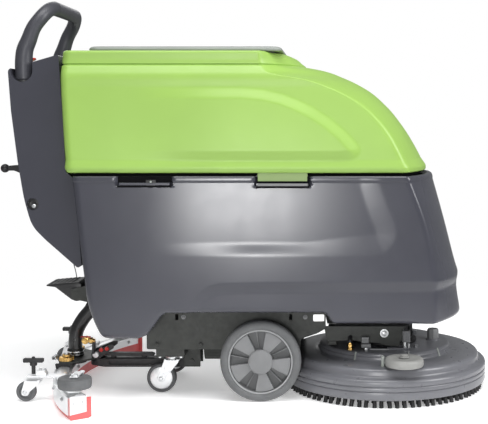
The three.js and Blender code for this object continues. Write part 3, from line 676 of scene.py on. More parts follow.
def make_lid():
    low, high = LID_LOW[2] + 12.3, LID_HIGH[2]
    x0, x1, half = LID_LOW[0], LID_HIGH[0], LID_HIGH[1]
    section = ((3, low), (1, low + 0.8), (0, low + 2.5), (0, low + 5.5), (1.2, low + 8), (4, low + 10),
               (9, low + 11.6), (18, low + 12.5), (34, high))
    rings = [rounded_rectangle(x0 + inset, x1 - inset * 1.3, half - inset, max(26 - inset, 6), z)
             for inset, z in section]
    lid = piece("lid_shell", stack(rings), "lid_grey", "lid", 30)
    plug = box_mesh((x0 + 28, -half + 28, low - 12), (x1 - 28, half - 28, low + 0.5))
    stands_for(carve(lid, plug, operation="UNION"), "tank_lid")
    soft = [rounded_rectangle(x0 + inset, x1 - inset, half - inset, 22, z)
            for inset, z in ((19, low - 0.2), (19, low - 5), (26, low - 5), (26, low - 0.2))]
    piece("lid_seal", ring_band(soft), "rubber", "lid", 40)


# ---------------------------------------------------------------- console and handle
CONSOLE_HALF = node_box("console_housing")[1][1]
CONSOLE_OUTLINE = rounded_outline(
    [(-587, 827), (-462, 863), (-458, 800), (-452, 700), (-446, 572), (-430, 560), (-417, 450), (-409, 340),
     (-418, 334), (-496, 403), (-531, 438), (-550, 505), (-565, 600), (-580, 724)],
    [9, 6, 0, 0, 4, 4, 0, 4, 6, 0, 34, 26, 0, 0])
CONSOLE_CAVITY = [(-573, 780), (-400, 780), (-400, 346), (-418, 346), (-492, 411), (-524, 443), (-542, 507),
                  (-557, 600), (-570, 724)]
SOCKET_X, SOCKET_Y = -553.0, 170.0
PANEL_TILT = np.array(Matrix.Rotation(-math.atan2(36, 125), 3, "Y"))
PANEL_ORIGIN = np.array((-524.5, 0, 845))
CONTROL_X = -32  # the row of buttons, dial and key, in the panel's own axes
STOP_Y, BRUSH_Y, VACUUM_Y, DIAL_Y, KEY_Y = -108, -8, -46, 50, 108


def on_panel(mesh):
    """Moves a mesh from the panel's own axes into the frame."""
    return np.asarray(mesh[0]) @ PANEL_TILT.T + PANEL_ORIGIN, mesh[1]


def control(profile, y, steps):
    """A profile turned about a control's own axis, in the panel's axes."""
    return turned_mesh(profile, (CONTROL_X, y, 0), "z", steps)


def panel_piece(name, mesh, slot, body, edge):
    return soften(welded(piece(name, on_panel(mesh), slot, body)), edge, 2)


def panel_box(name, low, high, slot, edge):
    return panel_piece(name, box_mesh(low, high), slot, "chassis", edge)


def stadium(x, radius, low, high, steps=14):
    """An upright slot with a round lower end."""
    turn = np.linspace(math.pi, 2 * math.pi, steps)
    arc = [(x + radius * math.cos(t), low + radius + radius * math.sin(t)) for t in turn]
    return arc + [(x + radius, high), (x - radius, high)]


def make_console():
    shell = piece("console_shell", prism_mesh(CONSOLE_OUTLINE, -CONSOLE_HALF, CONSOLE_HALF), "grey_shell",
                  "chassis")
    cutters = [prism_mesh(CONSOLE_CAVITY, -CONSOLE_HALF + 7, CONSOLE_HALF - 7)]
    for _, sign in SIDES:
        cutters.append(prism_mesh(stadium(SOCKET_X, 27, 796, 900), *span(sign, 144, 210)))
        cutters.append(turned_mesh(band(0, 15, *span(sign, CONSOLE_HALF - 6, 210)), (-529, 0, 493), "y", 40))
    cutters.append(box_mesh((-600, -159, 530), (-541, -141, 598)))
    cutters.append(turned_mesh(band(0, 24, 310, 390), (-427, 0, 0)))
    for y, radius in ((STOP_Y, 11), (BRUSH_Y, 8.6), (VACUUM_Y, 8.6)):
        cutters.append(on_panel(control(band(0, radius, -34, 6), y, 64)))
    carve(shell, *[closed(cutter) for cutter in cutters])
    stands_for(soften(shell, 4.0, 4, 34), "console_housing")
    face = CONSOLE_HALF - 6
    disc = [(0, face), (13.6, face), (13.6, face + 1.5), (8.5, face + 2.2), (6.8, face + 1.2),
            (0, face + 1.2)]
    head = [(0, face + 1), (5.6, face + 1), (5.6, face + 3.4), (4.4, face + 4.6), (0, face + 4.9)]
    for side, sign in SIDES:
        turned(f"console_screw_cup_{side}", mirrored(disc, sign), BLACK, "chassis", (-529, 0, 493), "y", 36)
        turned(f"console_screw_{side}", mirrored(head, sign), "steel", "chassis", (-527, 0, 488), "y", 20)


def make_handle():
    half = [(SOCKET_X, SOCKET_Y, 799), (SOCKET_X - 1, SOCKET_Y, 822), (SOCKET_X - 1, SOCKET_Y, 850),
            (SOCKET_X + 2, SOCKET_Y, 876), (SOCKET_X + 11, SOCKET_Y - 1, 899), (-530, SOCKET_Y - 4, 931),
            (-513, SOCKET_Y - 14, 958), (-502, SOCKET_Y - 34, 976), (-496, SOCKET_Y - 60, 984),
            (-495, SOCKET_Y - 90, 985)]
    path = smooth_path(half + [(x, -y, z) for x, y, z in reversed(half)], 150)
    grip = 21.5 - 3.5 * ease(path[:, 2], 840, 950)
    grip = np.where(path[:, 2] < 804, grip - 2.5 * (1 - ease(path[:, 2], 799, 804)), grip)
    stands_for(tube("handle_tube", path, grip, "handle_grey", "chassis", 32), "handle_loop")
    for side, sign in SIDES:
        turned(f"handle_socket_{side}", band(20.5, 26, 796.5, 800), BLACK, "chassis",
               (SOCKET_X, sign * SOCKET_Y, 0), "z", 40)


def make_panel():
    plate = prism_mesh(rounded_rectangle(-56, 54, 145, 9, 0, 6)[:, :2], 0.3, 6, "z")
    tools = [control(band(0, radius, -6, 14), y, 28)
             for y, radius in ((STOP_Y, 9.4), (KEY_Y, 11.4), (DIAL_Y, 8.4), (BRUSH_Y, 7.4), (VACUUM_Y, 7.4))]
    tools.append(box_mesh((2, -42, 4), (40, 42, 10)))
    obj = piece("panel_plate", on_panel(plate), BLACK, "chassis")
    carve(obj, *[on_panel(closed(tool)) for tool in tools])
    stands_for(soften(obj, 1.2, 3), "control_panel")
    bezel = [rounded_rectangle(2 - g, 40 + g, 42 + g, 4 + g, z, 5)
             for g, z in ((3.2, 6.0), (3.2, 7.4), (0.4, 7.4), (0.4, 6.0))]
    panel_piece("display_bezel", ring_band(bezel), "lid_grey", "chassis", 0.4)
    glass = rounded_rectangle(2.4, 39.6, 41.6, 3, 0, 4)[:, :2]
    window = panel_piece("display_glass", prism_mesh(glass, 4.3, 6.8, "z"), "display_glass", "chassis", 0.4)
    stands_for(window, "display_window")
    for k, width in enumerate((26, 18, 22, 12)):
        x = 30 - k * 7.5
        panel_box(f"display_bar_{k}", (x, -34, 6.8), (x + 3, -34 + width, 6.95), "lid_grey", 0.05)
    for k in range(5):
        x = 10 + k * 4.6
        panel_box(f"display_charge_{k}", (x, 20, 6.8), (x + 3, 34, 6.95), "green_shell", 0.05)
    ring = [(8.0, 6), (11, 6), (11, 7.1), (10, 7.9), (8.0, 7.9)]
    for k, y in enumerate((VACUUM_Y, BRUSH_Y)):
        panel_piece(f"button_ring_{k}", control(ring, y, 36), "steel", "chassis", 0.3)


def make_buttons():
    mushroom = [(0, 0.5), (9, 0.5), (9, 13), (14, 13.6), (18.4, 14.4), (19, 16.4), (18.2, 18.6), (14.6, 20.8),
                (8, 22), (0, 22.3)]
    stop = panel_piece("stop_mushroom", control(mushroom, STOP_Y, 48), "red_plastic", "stop_button", 0.2)
    stands_for(stop, "emergency_stop")
    collar = [(10.4, 6), (22, 6), (21.4, 6.7), (10.4, 6.7)]
    panel_piece("stop_collar", control(collar, STOP_Y, 48), "brass", "chassis", 0.2)
    cap = [(0, 0.75), (7, 0.75), (7, 8.2), (6.2, 9.1), (4.8, 9.25), (4, 8.8), (0, 8.7)]
    for name, y in (("brush", BRUSH_Y), ("vacuum", VACUUM_Y)):
        button = panel_piece(f"{name}_button_cap", control(cap, y, 32), "lid_grey", f"{name}_switch", 0.15)
        stands_for(button, f"{name}_button")


def make_dial():
    skirt = [(0, 0.5), (8, 0.5), (8, 8), (16, 8), (16, 10), (14.4, 12), (14.2, 19), (13, 20), (0, 20.2)]
    stands_for(panel_piece("dial_knob", control(skirt, DIAL_Y, 48), BLACK, "dial", 0.3), "speed_dial")
    rib = box_mesh((13.8, -0.8, 11.6), (15.1, 0.8, 19))
    for k in range(18):
        panel_piece(f"dial_rib_{k}", spun(rib, 2 * math.pi * k / 18, CONTROL_X, DIAL_Y), BLACK, "dial", 0.3)
    panel_piece("dial_pointer", box_mesh((-30, 49.2, 20.1), (-18, 50.8, 20.7)), "lid_grey", "dial", 0.2)
    mark = box_mesh((19, -0.7, 6), (22.5, 0.7, 6.5))
    for k in range(11):
        turn = -math.radians(270) * k / 10
        panel_piece(f"dial_mark_{k}", spun(mark, turn, CONTROL_X, DIAL_Y), "lid_grey", "chassis", 0.1)


def make_key():
    barrel = [(0, 0.5), (11, 0.5), (11, 8.4), (10, 9.5), (4, 9.5), (0, 9.4)]
    stands_for(panel_piece("key_barrel", control(barrel, KEY_Y, 40), "steel", "key", 0.2), "key_switch")
    panel_piece("key_blade", box_mesh((-35.5, 106.9, 9), (-28.5, 109.1, 17)), "steel", "key", 0.3)
    bow = rounded_outline([(-43, 15), (-21, 15), (-21, 30), (-43, 30)], 6)
    panel_piece("key_bow", prism_mesh(bow, 106.4, 109.6), BLACK, "key", 0.8)


def make_lever():
    x, y, z = -545, -150, 580
    boss = rod("lever_boss", 12, y - 8, y + 8, BLACK, "lever", "y", (x, z), 1.5)
    stands_for(boss, "lift_lever")
    arm = [(-546, 571), (-540, 571), (-540, 589), (-584, 588), (-604, 586), (-604, 574), (-586, 574),
           (-566, 566)]
    prism("lever_arm", rounded_outline(arm, 3), y - 6, y + 6, BLACK, "lever", "y", 2.5)
    ball = [(11 * math.sin(t), -11 * math.cos(t)) for t in np.linspace(0, math.pi, 18)]
    turned("lever_ball", ball, BLACK, "lever", (x - 65, y, z), "x", 32, 80)


def make_pedal():
    x, y, z = -432, -100, 262
    half = 45
    tread = [(-511, 281), (-510, 284.4), (-472, 288), (-430, 291), (-422, 286), (-422, 272), (-424, 244),
             (-436, 242), (-448, 247), (-488, 278)]
    pad = prism("pedal_tread", rounded_outline(tread, [2, 2, 0, 3, 3, 0, 6, 6, 0, 0]), y - half, y + half,
                BLACK, "pedal", "y", 1.6)
    relief = [(-424, 246), (-440, 250), (-480, 278), (-468, 284), (-424, 285)]
    carve(pad, closed(turned_mesh(band(0, 7.4, y - 60, y + 60), (x, 0, z), "y", 32)),
          prism_mesh(relief, y - half + 6, y - 8), prism_mesh(relief, y + 8, y + half - 6))
    stands_for(pad, "foot_pedal")
    for k in range(6):
        at = -504 + k * 11
        top = 284.6 + (at + 510) * 0.09
        grip = [(at, top - 2), (at + 5, top - 1.4), (at + 5, top + 1.6), (at, top + 1.0)]
        prism(f"pedal_grip_{k}", grip, y - half + 6, y + half - 6, "rubber", "pedal", "y", 0.5)
    turned("pedal_hub", band(7.6, 13, y - half, y + half), BLACK, "pedal", (x, 0, z), "y", 32)
    cable = smooth_path([(-457, y, 366), (-453, y, 336), (-447, y, 312), (-443, y, 288)], 16)
    tube("pedal_cable", cable, 1.1, BLACK, "chassis", 10)


# ---------------------------------------------------------------- chassis plates
PLATE_IN, PLATE_OUT = 138.0, 143.0
PLATE_LOW = node_box("side_plate_right")[0][2]
WHEEL_RADIUS = (node_box("drive_tyre_right")[1][2] - node_box("drive_tyre_right")[0][2]) / 2
WHEEL_X = node_centre("drive_tyre_right")[0]
WHEEL_CENTRE = (WHEEL_X, 0, WHEEL_RADIUS)
WHEEL_FACE = 207.0


def bolt_head(name, at, sign, radius, slot, body):
    """A washer and a domed head on an upright face looking along y."""
    profile = [(0, -0.5), (radius * 1.5, -0.5), (radius * 1.5, 0.9), (radius, 1.0), (radius, 2.6),
               (radius * 0.82, 3.9), (radius * 0.4, 4.5), (0, 4.6)]
    turned(name, mirrored(profile, sign), slot, body, at, "y", 28)


def rectangle(x0, x1, z0, z1):
    return [(x0, z0), (x1, z0), (x1, z1), (x0, z1)]


def make_side_plates():
    outline = [(-258, PLATE_LOW), (132, PLATE_LOW), (134, 146), (176, 160), (197, 172), (197, 226.2),
               (-206, 226.2), (-219, 224), (-254, 178), (-258, 172), (-258, 158)]
    shape = rounded_outline(outline, [5, 5, 3, 0, 3, 2, 8, 10, 10, 6, 3], 5)
    window = rounded_outline(rectangle(165, 193, 190, 208), 3, 4)
    slots = [rounded_outline(rectangle(x - 4, x + 4, 194, 209), 2, 3) for x in (-181, 108)]
    for side, sign in SIDES:
        low, high = span(sign, PLATE_IN, PLATE_OUT)
        plate = piece(f"chassis_plate_{side}", prism_mesh(shape, low, high), DARK, "chassis")
        hub = turned_mesh(band(0, 30, low - 5, high + 5), WHEEL_CENTRE, "y", 40)
        carve(plate, *[prism_mesh(hole, low - 5, high + 5) for hole in (window, *slots)], closed(hub))
        stands_for(soften(plate, 1.0, 2), f"side_plate_{side}")
        lip = rectangle(-250, -150, PLATE_LOW, PLATE_LOW + 1.8)
        prism(f"plate_lip_{side}", lip, *span(sign, PLATE_IN - 22, PLATE_IN - 0.2), DARK, "chassis", "y", 0.5)
        face = sign * PLATE_OUT
        for k, x in enumerate((-164, 145)):
            bolt_head(f"plate_bolt_{side}_{k}", (x, face, 201.5), sign, 3.8, "rim_grey", "chassis")
        for k, x in enumerate((-230, -120, 98)):
            bolt_head(f"plate_foot_bolt_{side}_{k}", (x, face, 133), sign, 4.2, DARK, "chassis")


# ---------------------------------------------------------------- drive wheels
def make_drive_wheels():
    face, back = WHEEL_FACE, WHEEL_FACE - 42
    profile = [(80.2, face - 4.5), (83, face - 1.6), (88, face - 0.6), (92, face - 1.2), (97, face - 4),
               (100, face - 9), (WHEEL_RADIUS, face - 14), (WHEEL_RADIUS, back + 14), (100, back + 9),
               (97, back + 4), (92, back + 1.2), (86, back + 0.6), (80.2, back + 4.5)]
    for side, sign in SIDES:
        tyre = turned(f"tyre_{side}", mirrored(smooth_closed(profile, 2), sign), "rubber",
                      f"drive_wheel_{side}",
                      WHEEL_CENTRE, "y", 96, 50)
        stands_for(tyre, f"drive_tyre_{side}")
        make_rim(side, sign)


def wedge(middle, half, low, high, steps=8):
    """A sector of the rim between low and high along y; middle and half are in degrees round the hub."""
    inner, outer = 27, 75.6
    turn = np.radians(np.linspace(middle - half, middle + half, steps))
    ring = [(outer * math.cos(t), outer * math.sin(t)) for t in turn]
    ring += [(inner * math.cos(t), inner * math.sin(t)) for t in turn[::-1]]
    return prism_mesh(np.array(ring) + (WHEEL_X, WHEEL_RADIUS), low, high)


def make_rim(side, sign):
    body = f"drive_wheel_{side}"
    face, floor, back = WHEEL_FACE - 6, WHEEL_FACE - 24, WHEEL_FACE - 38
    dish = [(0, floor), (73, floor), (75.5, floor + 2), (76.5, face + 1.6), (77.6, face + 2.6),
            (79.4, face + 2.6), (79.9, face + 1), (79.9, back), (72, back), (72, floor - 5), (0, floor - 5)]
    bead = [(76.4, face + 1.4), (77.2, face + 3.2), (79.2, face + 3.4), (80.6, face + 2.2),
            (80.6, face + 0.5),
            (76.6, face + 0.5)]
    cap = [(0, floor - 1), (30.5, floor - 1), (30.5, face + 3.2), (29, face + 4.6), (26, face + 5.2),
           (0, face + 5.4)]
    shaft = band(0, 12, 30, floor - 4)
    # The dish is in a darker copy of the wheel grey: painted shade in the recessed sectors between the
    # spokes.
    for name, profile, slot, steps, angle in (
            ("rim_dish", dish, "rim_painted_shade", 96, 28), ("rim_bead", bead, "rim_light", 96, 40),
            ("rim_cap", cap, "rim_grey", 64, 30), ("half_shaft", shaft, "steel", 28, 35)):
        part = turned(f"{name}_{side}", mirrored(profile, sign), slot, body, WHEEL_CENTRE, "y", steps, angle)
        if profile is dish:
            stands_for(part, f"drive_rim_{side}")
    for k in range(5):
        middle = 62 + 72 * k
        sector = wedge(middle, 18, *span(sign, floor - 1, face))
        soften(piece(f"rim_spoke_{side}_{k}", sector, "rim_grey", body, 30), 1.4, 3)
        web = wedge(middle + 36, 1.5, *span(sign, floor - 1, floor + 6), 3)
        soften(piece(f"rim_web_{side}_{k}", web, "rim_grey", body, 30), 0.8, 2)


# ---------------------------------------------------------------- casters
class Caster:
    """A swivelling wheel: where its swivel stands, its trail behind that, and its wheel's size."""

    def __init__(self, x, y, trail, radius, width, fork_top, plate_low):
        self.x, self.y, self.trail, self.radius, self.width = x, y, trail, radius, width
        self.fork_top, self.plate_low = fork_top, plate_low

    def make_fork(self, name, sign, slot, body):
        """A pressed fork with raked cheeks, its swivel cup and the axle bolt."""
        x, y, trail, radius, top = self.x, sign * self.y, self.trail, self.radius, self.fork_top
        arm = self.width / 2 + 5
        drop = [(-trail - 8, radius - 8), (-trail + 8, radius - 8), (-trail + 10, radius), (17, top - 9),
                (19, top - 3), (19, top), (-19, top), (-20, top - 6), (-trail - 9, radius + 2)]
        shape = rounded_outline(drop, [6, 6, 4, 3, 0, 0, 0, 3, 5], 5) + (x, 0)
        for k, (low, high) in enumerate(((-arm, -arm + 2.6), (arm - 2.6, arm))):
            prism(f"{name}_cheek_{k}", shape, y + low, y + high, slot, body, "y", 0.7)
        crown = rounded_outline(rectangle(x - 20, x + 19, y - arm, y + arm), 6, 5)
        cup_top = self.plate_low
        if cup_top - top > 6:
            cup = [(0, top - 0.5), (17, top - 0.5), (17.5, cup_top - 5), (15, cup_top - 2),
                   (15, cup_top - 0.4),
                   (0, cup_top - 0.4)]
            turned(f"{name}_cup", cup, slot, body, (x, y, 0), "z", 36)
        axle = [(0, -arm - 4), (3.2, -arm - 4), (5.4, -arm - 2.2), (5.4, -arm), (3.4, -arm), (3.4, arm),
                (6, arm),
                (6, arm + 4), (0, arm + 4)]
        turned(f"{name}_axle", axle, "steel", body, (x - trail, y, radius), "y", 20)
        return prism(f"{name}_crown", crown, top - 3, top, slot, body, "z", 0.7)

    def make_wheel(self, name, sign, tyre_slot, disc_slot, body):
        """A narrow wheel: a round tyre with its side discs and bearing boss."""
        half, radius, inner = self.width / 2, self.radius, self.radius - 9
        centre = (self.x - self.trail, sign * self.y, radius)
        tyre = smooth_closed([(inner, -half + 1), (radius - 4, -half), (radius, -half + 4),
                              (radius, half - 4),
                              (radius - 4, half), (inner, half - 1)], 2)
        disc = [(4.4, -half + 1.2), (inner - 4, -half + 1.6), (inner + 0.4, -half + 3.4),
                (inner + 0.4, half - 3.4),
                (inner - 4, half - 1.6), (4.4, half - 1.2)]
        boss = [(4.4, -half - 1.4), (9, -half - 1.4), (10, -half + 0.4), (10, half - 0.4), (9, half + 1.4),
                (4.4, half + 1.4)]
        turned(f"{name}_disc", disc, disc_slot, body, centre, "y", 48, 25)
        turned(f"{name}_boss", boss, "steel", body, centre, "y", 28, 25)
        return turned(name, tyre, tyre_slot, body, centre, "y", 64, 50)


REAR_CASTER = Caster(-199.0, 102.0, 27.0, 38.0, 26.0, 88, 98.4)
TRAILING_CASTER = Caster(-532.0, 190.0, 18.0, 25.0, 20.0, 56, 61.7)


def make_rear_casters():
    for side, sign in SIDES:
        swivel, roll = f"caster_swivel_{side}", f"caster_roll_{side}"
        stands_for(REAR_CASTER.make_fork(f"rear_fork_{side}", sign, "steel", swivel), f"caster_fork_{side}")
        wheel = REAR_CASTER.make_wheel(f"rear_wheel_{side}", sign, "rubber_dark", ZINC, roll)
        stands_for(wheel, f"caster_wheel_{side}")
        for k, (dx, dy) in enumerate(((-27, -27), (27, -27), (27, 27), (-27, 27))):
            place = (REAR_CASTER.x + dx, sign * REAR_CASTER.y + dy)
            rod(f"caster_plate_bolt_{side}_{k}", 5, 94.6, 99.4, "steel", "chassis", "z", place, 0.8, 6)


# ---------------------------------------------------------------- brush deck
DECK_LOW, DECK_HIGH = node_box("deck_housing")
DECK_X = node_centre("deck_housing")[0]
SKIRT_RADIUS = (DECK_HIGH[0] - DECK_LOW[0]) / 2
DECK_CENTRE = (DECK_X, 0, 0)
POST_CENTRE = (483, 0, 0)


def make_deck():
    bands = [(-3.4, 20), (-1.8, 21), (-1.2, 24), (-1.0, 37), (-1.6, 39.4), (-3.0, 40.4), (-2.6, 41.4),
             (-0.9, 42.4), (-0.5, 45), (-0.6, 50), (-1.4, 51.6), (-2.6, 52.4), (-2.2, 53.4), (-0.6, 54.6),
             (0, 57),
             (-0.1, 63), (-1.2, 66.6), (-4, 69.6), (-8, 71)]
    skirt = [(SKIRT_RADIUS + inset, z) for inset, z in bands]
    shoulder = [(256, 71.4), (251.6, 72.4), (249.6, 74.6), (248.6, 78), (248, 85), (246.4, 89), (243, 92),
                (238, 93)]
    disc = [(190, 94.2), (180, 95), (176.6, 96.6), (175.4, 99), (175, 103.4), (172.6, 104.6), (171.8, 106),
            (171, 110.6), (168.4, 113.2), (165, 114), (60, 114), (60, 108)]
    inside = [(161, 108), (167, 88), (238, 87), (240, 68), (262, 67), (262, 20)]
    housing = turned("deck_shell", skirt + shoulder + disc + inside, "deck_grey", "deck", DECK_CENTRE, "z",
                     160, 24)
    stands_for(housing, "deck_housing")
    clip = prism_mesh([(166, 113.4), (177, 93.6), (180, 94), (171, 116)], -2, 2)
    for k, degrees in enumerate((-118, -72, -40, 60, 105, 140)):
        placed = spun(clip, math.radians(degrees), DECK_X)
        soften(piece(f"deck_clip_{k}", placed, "lid_grey", "deck"), 1.2, 2)
    post = turned_mesh([(0, 113), (15.5, 113), (15.5, 139), (13.4, 143), (0, 143.6)], POST_CENTRE, "z", 8)
    welded(piece("deck_post", post, "rim_grey", "deck", 20))
    low_rim = [(13.5, 113.6), (19.5, 113.6), (18.5, 117), (15.4, 118), (13.5, 118)]
    turned("deck_post_foot", low_rim, "deck_grey", "deck", POST_CENTRE, "z", 32)
    for k, (x, y) in enumerate(((300, 128), (300, -128), (405, 128), (430, -96), (440, 84))):
        rod(f"deck_stud_{k}", 6.5, 113.4, 121, "steel", "deck", "z", (x, y), 1.0, 6)


def make_water_fitting():
    """The brass valve and elbow that feed the brush, on the near side of the disc."""
    profile = [(0, 113.5), (8.5, 113.5), (8.5, 118), (5.4, 118.6), (5.4, 121.6), (8, 122.2), (8, 127.4),
               (5, 128),
               (4.4, 133), (0, 134)]
    turned("water_fitting", profile, "brass", "deck", (259, -121, 0), "z", 6)
    hose = smooth_path([(259, -121, 131), (259, -119, 139), (262, -104, 146), (270, -84, 144),
                        (284, -70, 138)], 30)
    tube("water_hose", hose, 5.4, BLACK, "deck", 16)


def make_deck_bracket():
    cheek = [(200, 134), (192, 171.6), (399, 171.6), (401, 167), (393, 157), (393, 134), (388, 134),
             (386, 121),
             (352, 121), (336, 128), (300, 130), (262, 136), (232, 134)]
    shape = rounded_outline(cheek, [2, 4, 3, 3, 3, 3, 4, 3, 3, 6, 8, 8, 3], 4)
    lugs = [(f"deck_lug_SIDE_{k}", *place, 110, 126, "rim_grey", 2.6) for k, place in
            enumerate(((288, 308, 130, 147), (287, 313, 118.4, 129), (393, 413, 132, 163)))]
    ribs = [(f"deck_lug_rib_SIDE_{k}", x - 1.4, x + 1.4, 134, 161, 124, 127.4, "deck_grey", 0.8)
            for k, x in enumerate((397, 403, 409))]
    # The foot's slot takes the near-black painted shade look, for the shadow inside it.
    boxes = [("deck_foot_SIDE", 304, 410, 114.2, 118.4, 93, 129, "deck_grey", 1.2),
             ("deck_foot_slot_SIDE", 313, 354, 117.6, 122, 124, 129, "painted_shade_black", 0.8),
             ("deck_foot_lip_SIDE", 310, 358, 114.4, 117.6, 127, 131, "rim_light", 0.8), *lugs, *ribs]
    for side, sign in SIDES:
        plate = prism(f"deck_cheek_{side}", shape, *span(sign, 106, 112), DARK, "deck", "y", 1.2)
        if side == "right":
            stands_for(plate, "deck_bracket")
        for name, x0, x1, z0, z1, near, far, slot, edge in boxes:
            y0, y1 = span(sign, near, far)
            box(name.replace("SIDE", side), (x0, y0, z0), (x1, y1, z1), slot, "deck", edge)
        bolt_head(f"deck_pivot_{side}", (347, sign * 112, 153.5), sign, 7.2, ZINC, "deck")
        for k, x in enumerate((399, 409)):
            rod(f"deck_foot_bolt_{side}_{k}", 4.4 - k, 117, 136 - 6 * k, "steel", "deck", "z",
                (x, sign * 121), 1.0, 20)
    box("deck_bridge", (222, -106.4, 166.4), (402, 106.4, 171.6), DARK, "deck", 1.0)
    box("deck_cross_bar", (203, -110, 122.4), (225, 110, 133.6), DARK, "deck", 2.0)


def make_brush_motor():
    case = [(0, 114.3), (85, 114.3), (85, 120), (83, 122), (73, 122.4), (72, 124), (72, 160), (69, 164),
            (60, 165),
            (0, 165.6)]
    stands_for(turned("brush_motor_case", case, BLACK, "deck", DECK_CENTRE, "z", 72), "brush_motor")
    fin = box_mesh((70.5, -1.6, 127), (75, 1.6, 158))
    for k in range(24):
        soften(piece(f"motor_fin_{k}", spun(fin, 2 * math.pi * k / 24, DECK_X), BLACK, "deck"), 0.8, 2)


def make_brush():
    profile = [(0, 46.4), (60, 46.4), (60, 44), (80, 42), (228, 42), (235, 46), (235, 55), (232, 58),
               (62, 60), (49, 64), (48, 66), (48, 113), (46, 113.7), (0, 113.7)]
    stands_for(turned("brush_block", profile, "brush_black", "brush", DECK_CENTRE, "z", 96, 30), "brush_disc")
    sides = 8
    tuft_ring = [(math.cos(s), math.sin(s), 0) for s in np.linspace(0, 2 * math.pi, sides, endpoint=False)]
    rows = ((241, 84, 4.6), (226, 78, 4.2), (208, 72, 4.2), (188, 64, 4.2), (168, 58, 4.2), (148, 50, 4.2))
    verts, faces = [], []
    for row, (radius, count, thick) in enumerate(rows):
        tip_radius = radius * (1 + (0.052 if row == 0 else 0.02))
        for k in range(count):
            turn = 2 * math.pi * (k + 0.5 * (row % 2)) / count
            tip_turn = turn + 0.006 * math.sin(k * 2.7 + row)
            root = np.array((radius * math.cos(turn), radius * math.sin(turn), 43.5))
            tip = np.array((tip_radius * math.cos(tip_turn), tip_radius * math.sin(tip_turn), 0.0))
            rings = [place + wide * thick * np.array(tuft_ring)
                     for place, wide in ((root, 0.8), ((root + tip) / 2, 0.95), (tip, 1.2))]
            tuft_verts, tuft_faces = stack(rings)
            faces += [tuple(len(verts) + i for i in face) for face in tuft_faces]
            verts += list(tuft_verts)
    tufts = piece("bristle_tufts", (np.array(verts) + DECK_CENTRE, faces), "brush_black", "brush", 60)
    stands_for(tufts, "brush_bristles")


def make_bumper():
    x, y = 390, -230
    profile = [(8.4, 97.6), (40, 97.4), (45.5, 99), (47.6, 102), (48, 106), (47.6, 112), (46, 116),
               (42.6, 118.4),
               (38, 118.8), (34, 117.8), (20, 117.6), (8.4, 117.6)]
    stands_for(turned("bumper_wheel", profile, "bumper_grey", "bumper", (x, y, 0), "z", 72, 30),
               "bumper_roller")
    bolt = [(0, 92.6), (7.4, 92.6), (7.4, 119.5), (13.5, 119.6), (13.5, 121), (9, 121.4), (9, 124.6),
            (6.5, 126.2), (0, 126.6)]
    stands_for(turned("bumper_pin", bolt, "bumper_grey", "deck", (x, y, 0), "z", 36), "bumper_bolt")
    arm = rounded_outline([(x - 50, -205), (x - 46, -226), (x - 8, -238), (x + 16, -232), (x + 30, -205)], 6,
                          5)
    prism("bumper_arm", arm, 92.4, 96.6, "deck_grey", "deck", "z", 1.0)
    side = rounded_outline(rectangle(x - 56, x - 48, -222, -206), 2, 3)
    prism("bumper_stop", side, 92.6, 118, "lid_grey", "deck", "z", 1.2)


# ---------------------------------------------------------------- squeegee
ARC_CENTRE_X, ARC_RADIUS = 122.0, 612.0
ARC_END = math.asin(350 / 612) - 0.006
INLET_X = -474.0
INLET_CENTRE = (INLET_X, 0, 0)
NUT_Y = 60


def arc_x(y):
    """Where the middle of the squeegee's arc lies behind a place across the machine."""
    return ARC_CENTRE_X - math.sqrt(ARC_RADIUS ** 2 - y ** 2)


def arc_ring(section, turn, sign=1):
    """An [offset, z] section stood on the arc; turn is from straight behind."""
    offset, z = np.array(section, float).T
    reach = ARC_RADIUS + offset
    return np.column_stack((ARC_CENTRE_X - reach * math.cos(turn), sign * reach * math.sin(turn), z))


def arc_sweep(name, section, slot, short=0.0):
    """A closed section swept along the arc, ending short of its ends by an angle."""
    turns = np.linspace(short - ARC_END, ARC_END - short, 91)
    return piece(name, stack([arc_ring(section, turn) for turn in turns]), slot, "squeegee")


def make_squeegee():
    channel = [(-16, 30), (-16, 52), (-13.5, 56), (-7, 58), (7, 58), (13.5, 56), (16, 52), (16, 30),
               (13.4, 30),
               (13.4, 50), (-13.4, 50), (-13.4, 30)]
    stands_for(arc_sweep("squeegee_channel", channel, ZINC), "squeegee_body")
    rear = [(16.5, 50), (20.4, 50), (20.4, 3), (18, 0), (16.5, 0)]
    stands_for(arc_sweep("blade_rear", rear, "blade_red"), "rear_blade")
    front = [(-20.4, 50), (-16.5, 50), (-16.5, 2), (-18.4, 2), (-20.4, 5)]
    stands_for(arc_sweep("blade_front", front, "blade_red"), "front_blade")
    for name, side, foot in (("strap_rear", 1, 10), ("strap_front", -1, 30)):
        strap = [(16.2, 50.4), (20.6, 50.4), (20.6, foot + 1), (22.6, foot), (22.6, 52.6), (16.2, 52.6)]
        arc_sweep(name, [(side * offset, z) for offset, z in strap], ZINC, 0.014)
    for k, degrees in enumerate(range(-30, 31, 10)):
        for row, offset in enumerate((22.4, -22.4)):
            strap_nut(f"strap_nut_{k}_{row}", math.radians(degrees), offset)
    funnel = [(15.4, 54), (30, 54), (30, 62), (27, 65), (21.4, 66), (21.4, 71.6), (18.4, 71.6), (15.4, 68)]
    turned("squeegee_inlet", funnel, BLACK, "squeegee", INLET_CENTRE, "z", 48, 30)
    for side, sign in SIDES:
        make_arc_end(side, sign)
        make_guide_roller(side, sign)
        make_trailing_caster(side, sign)
        make_thumb_nut(side, sign)


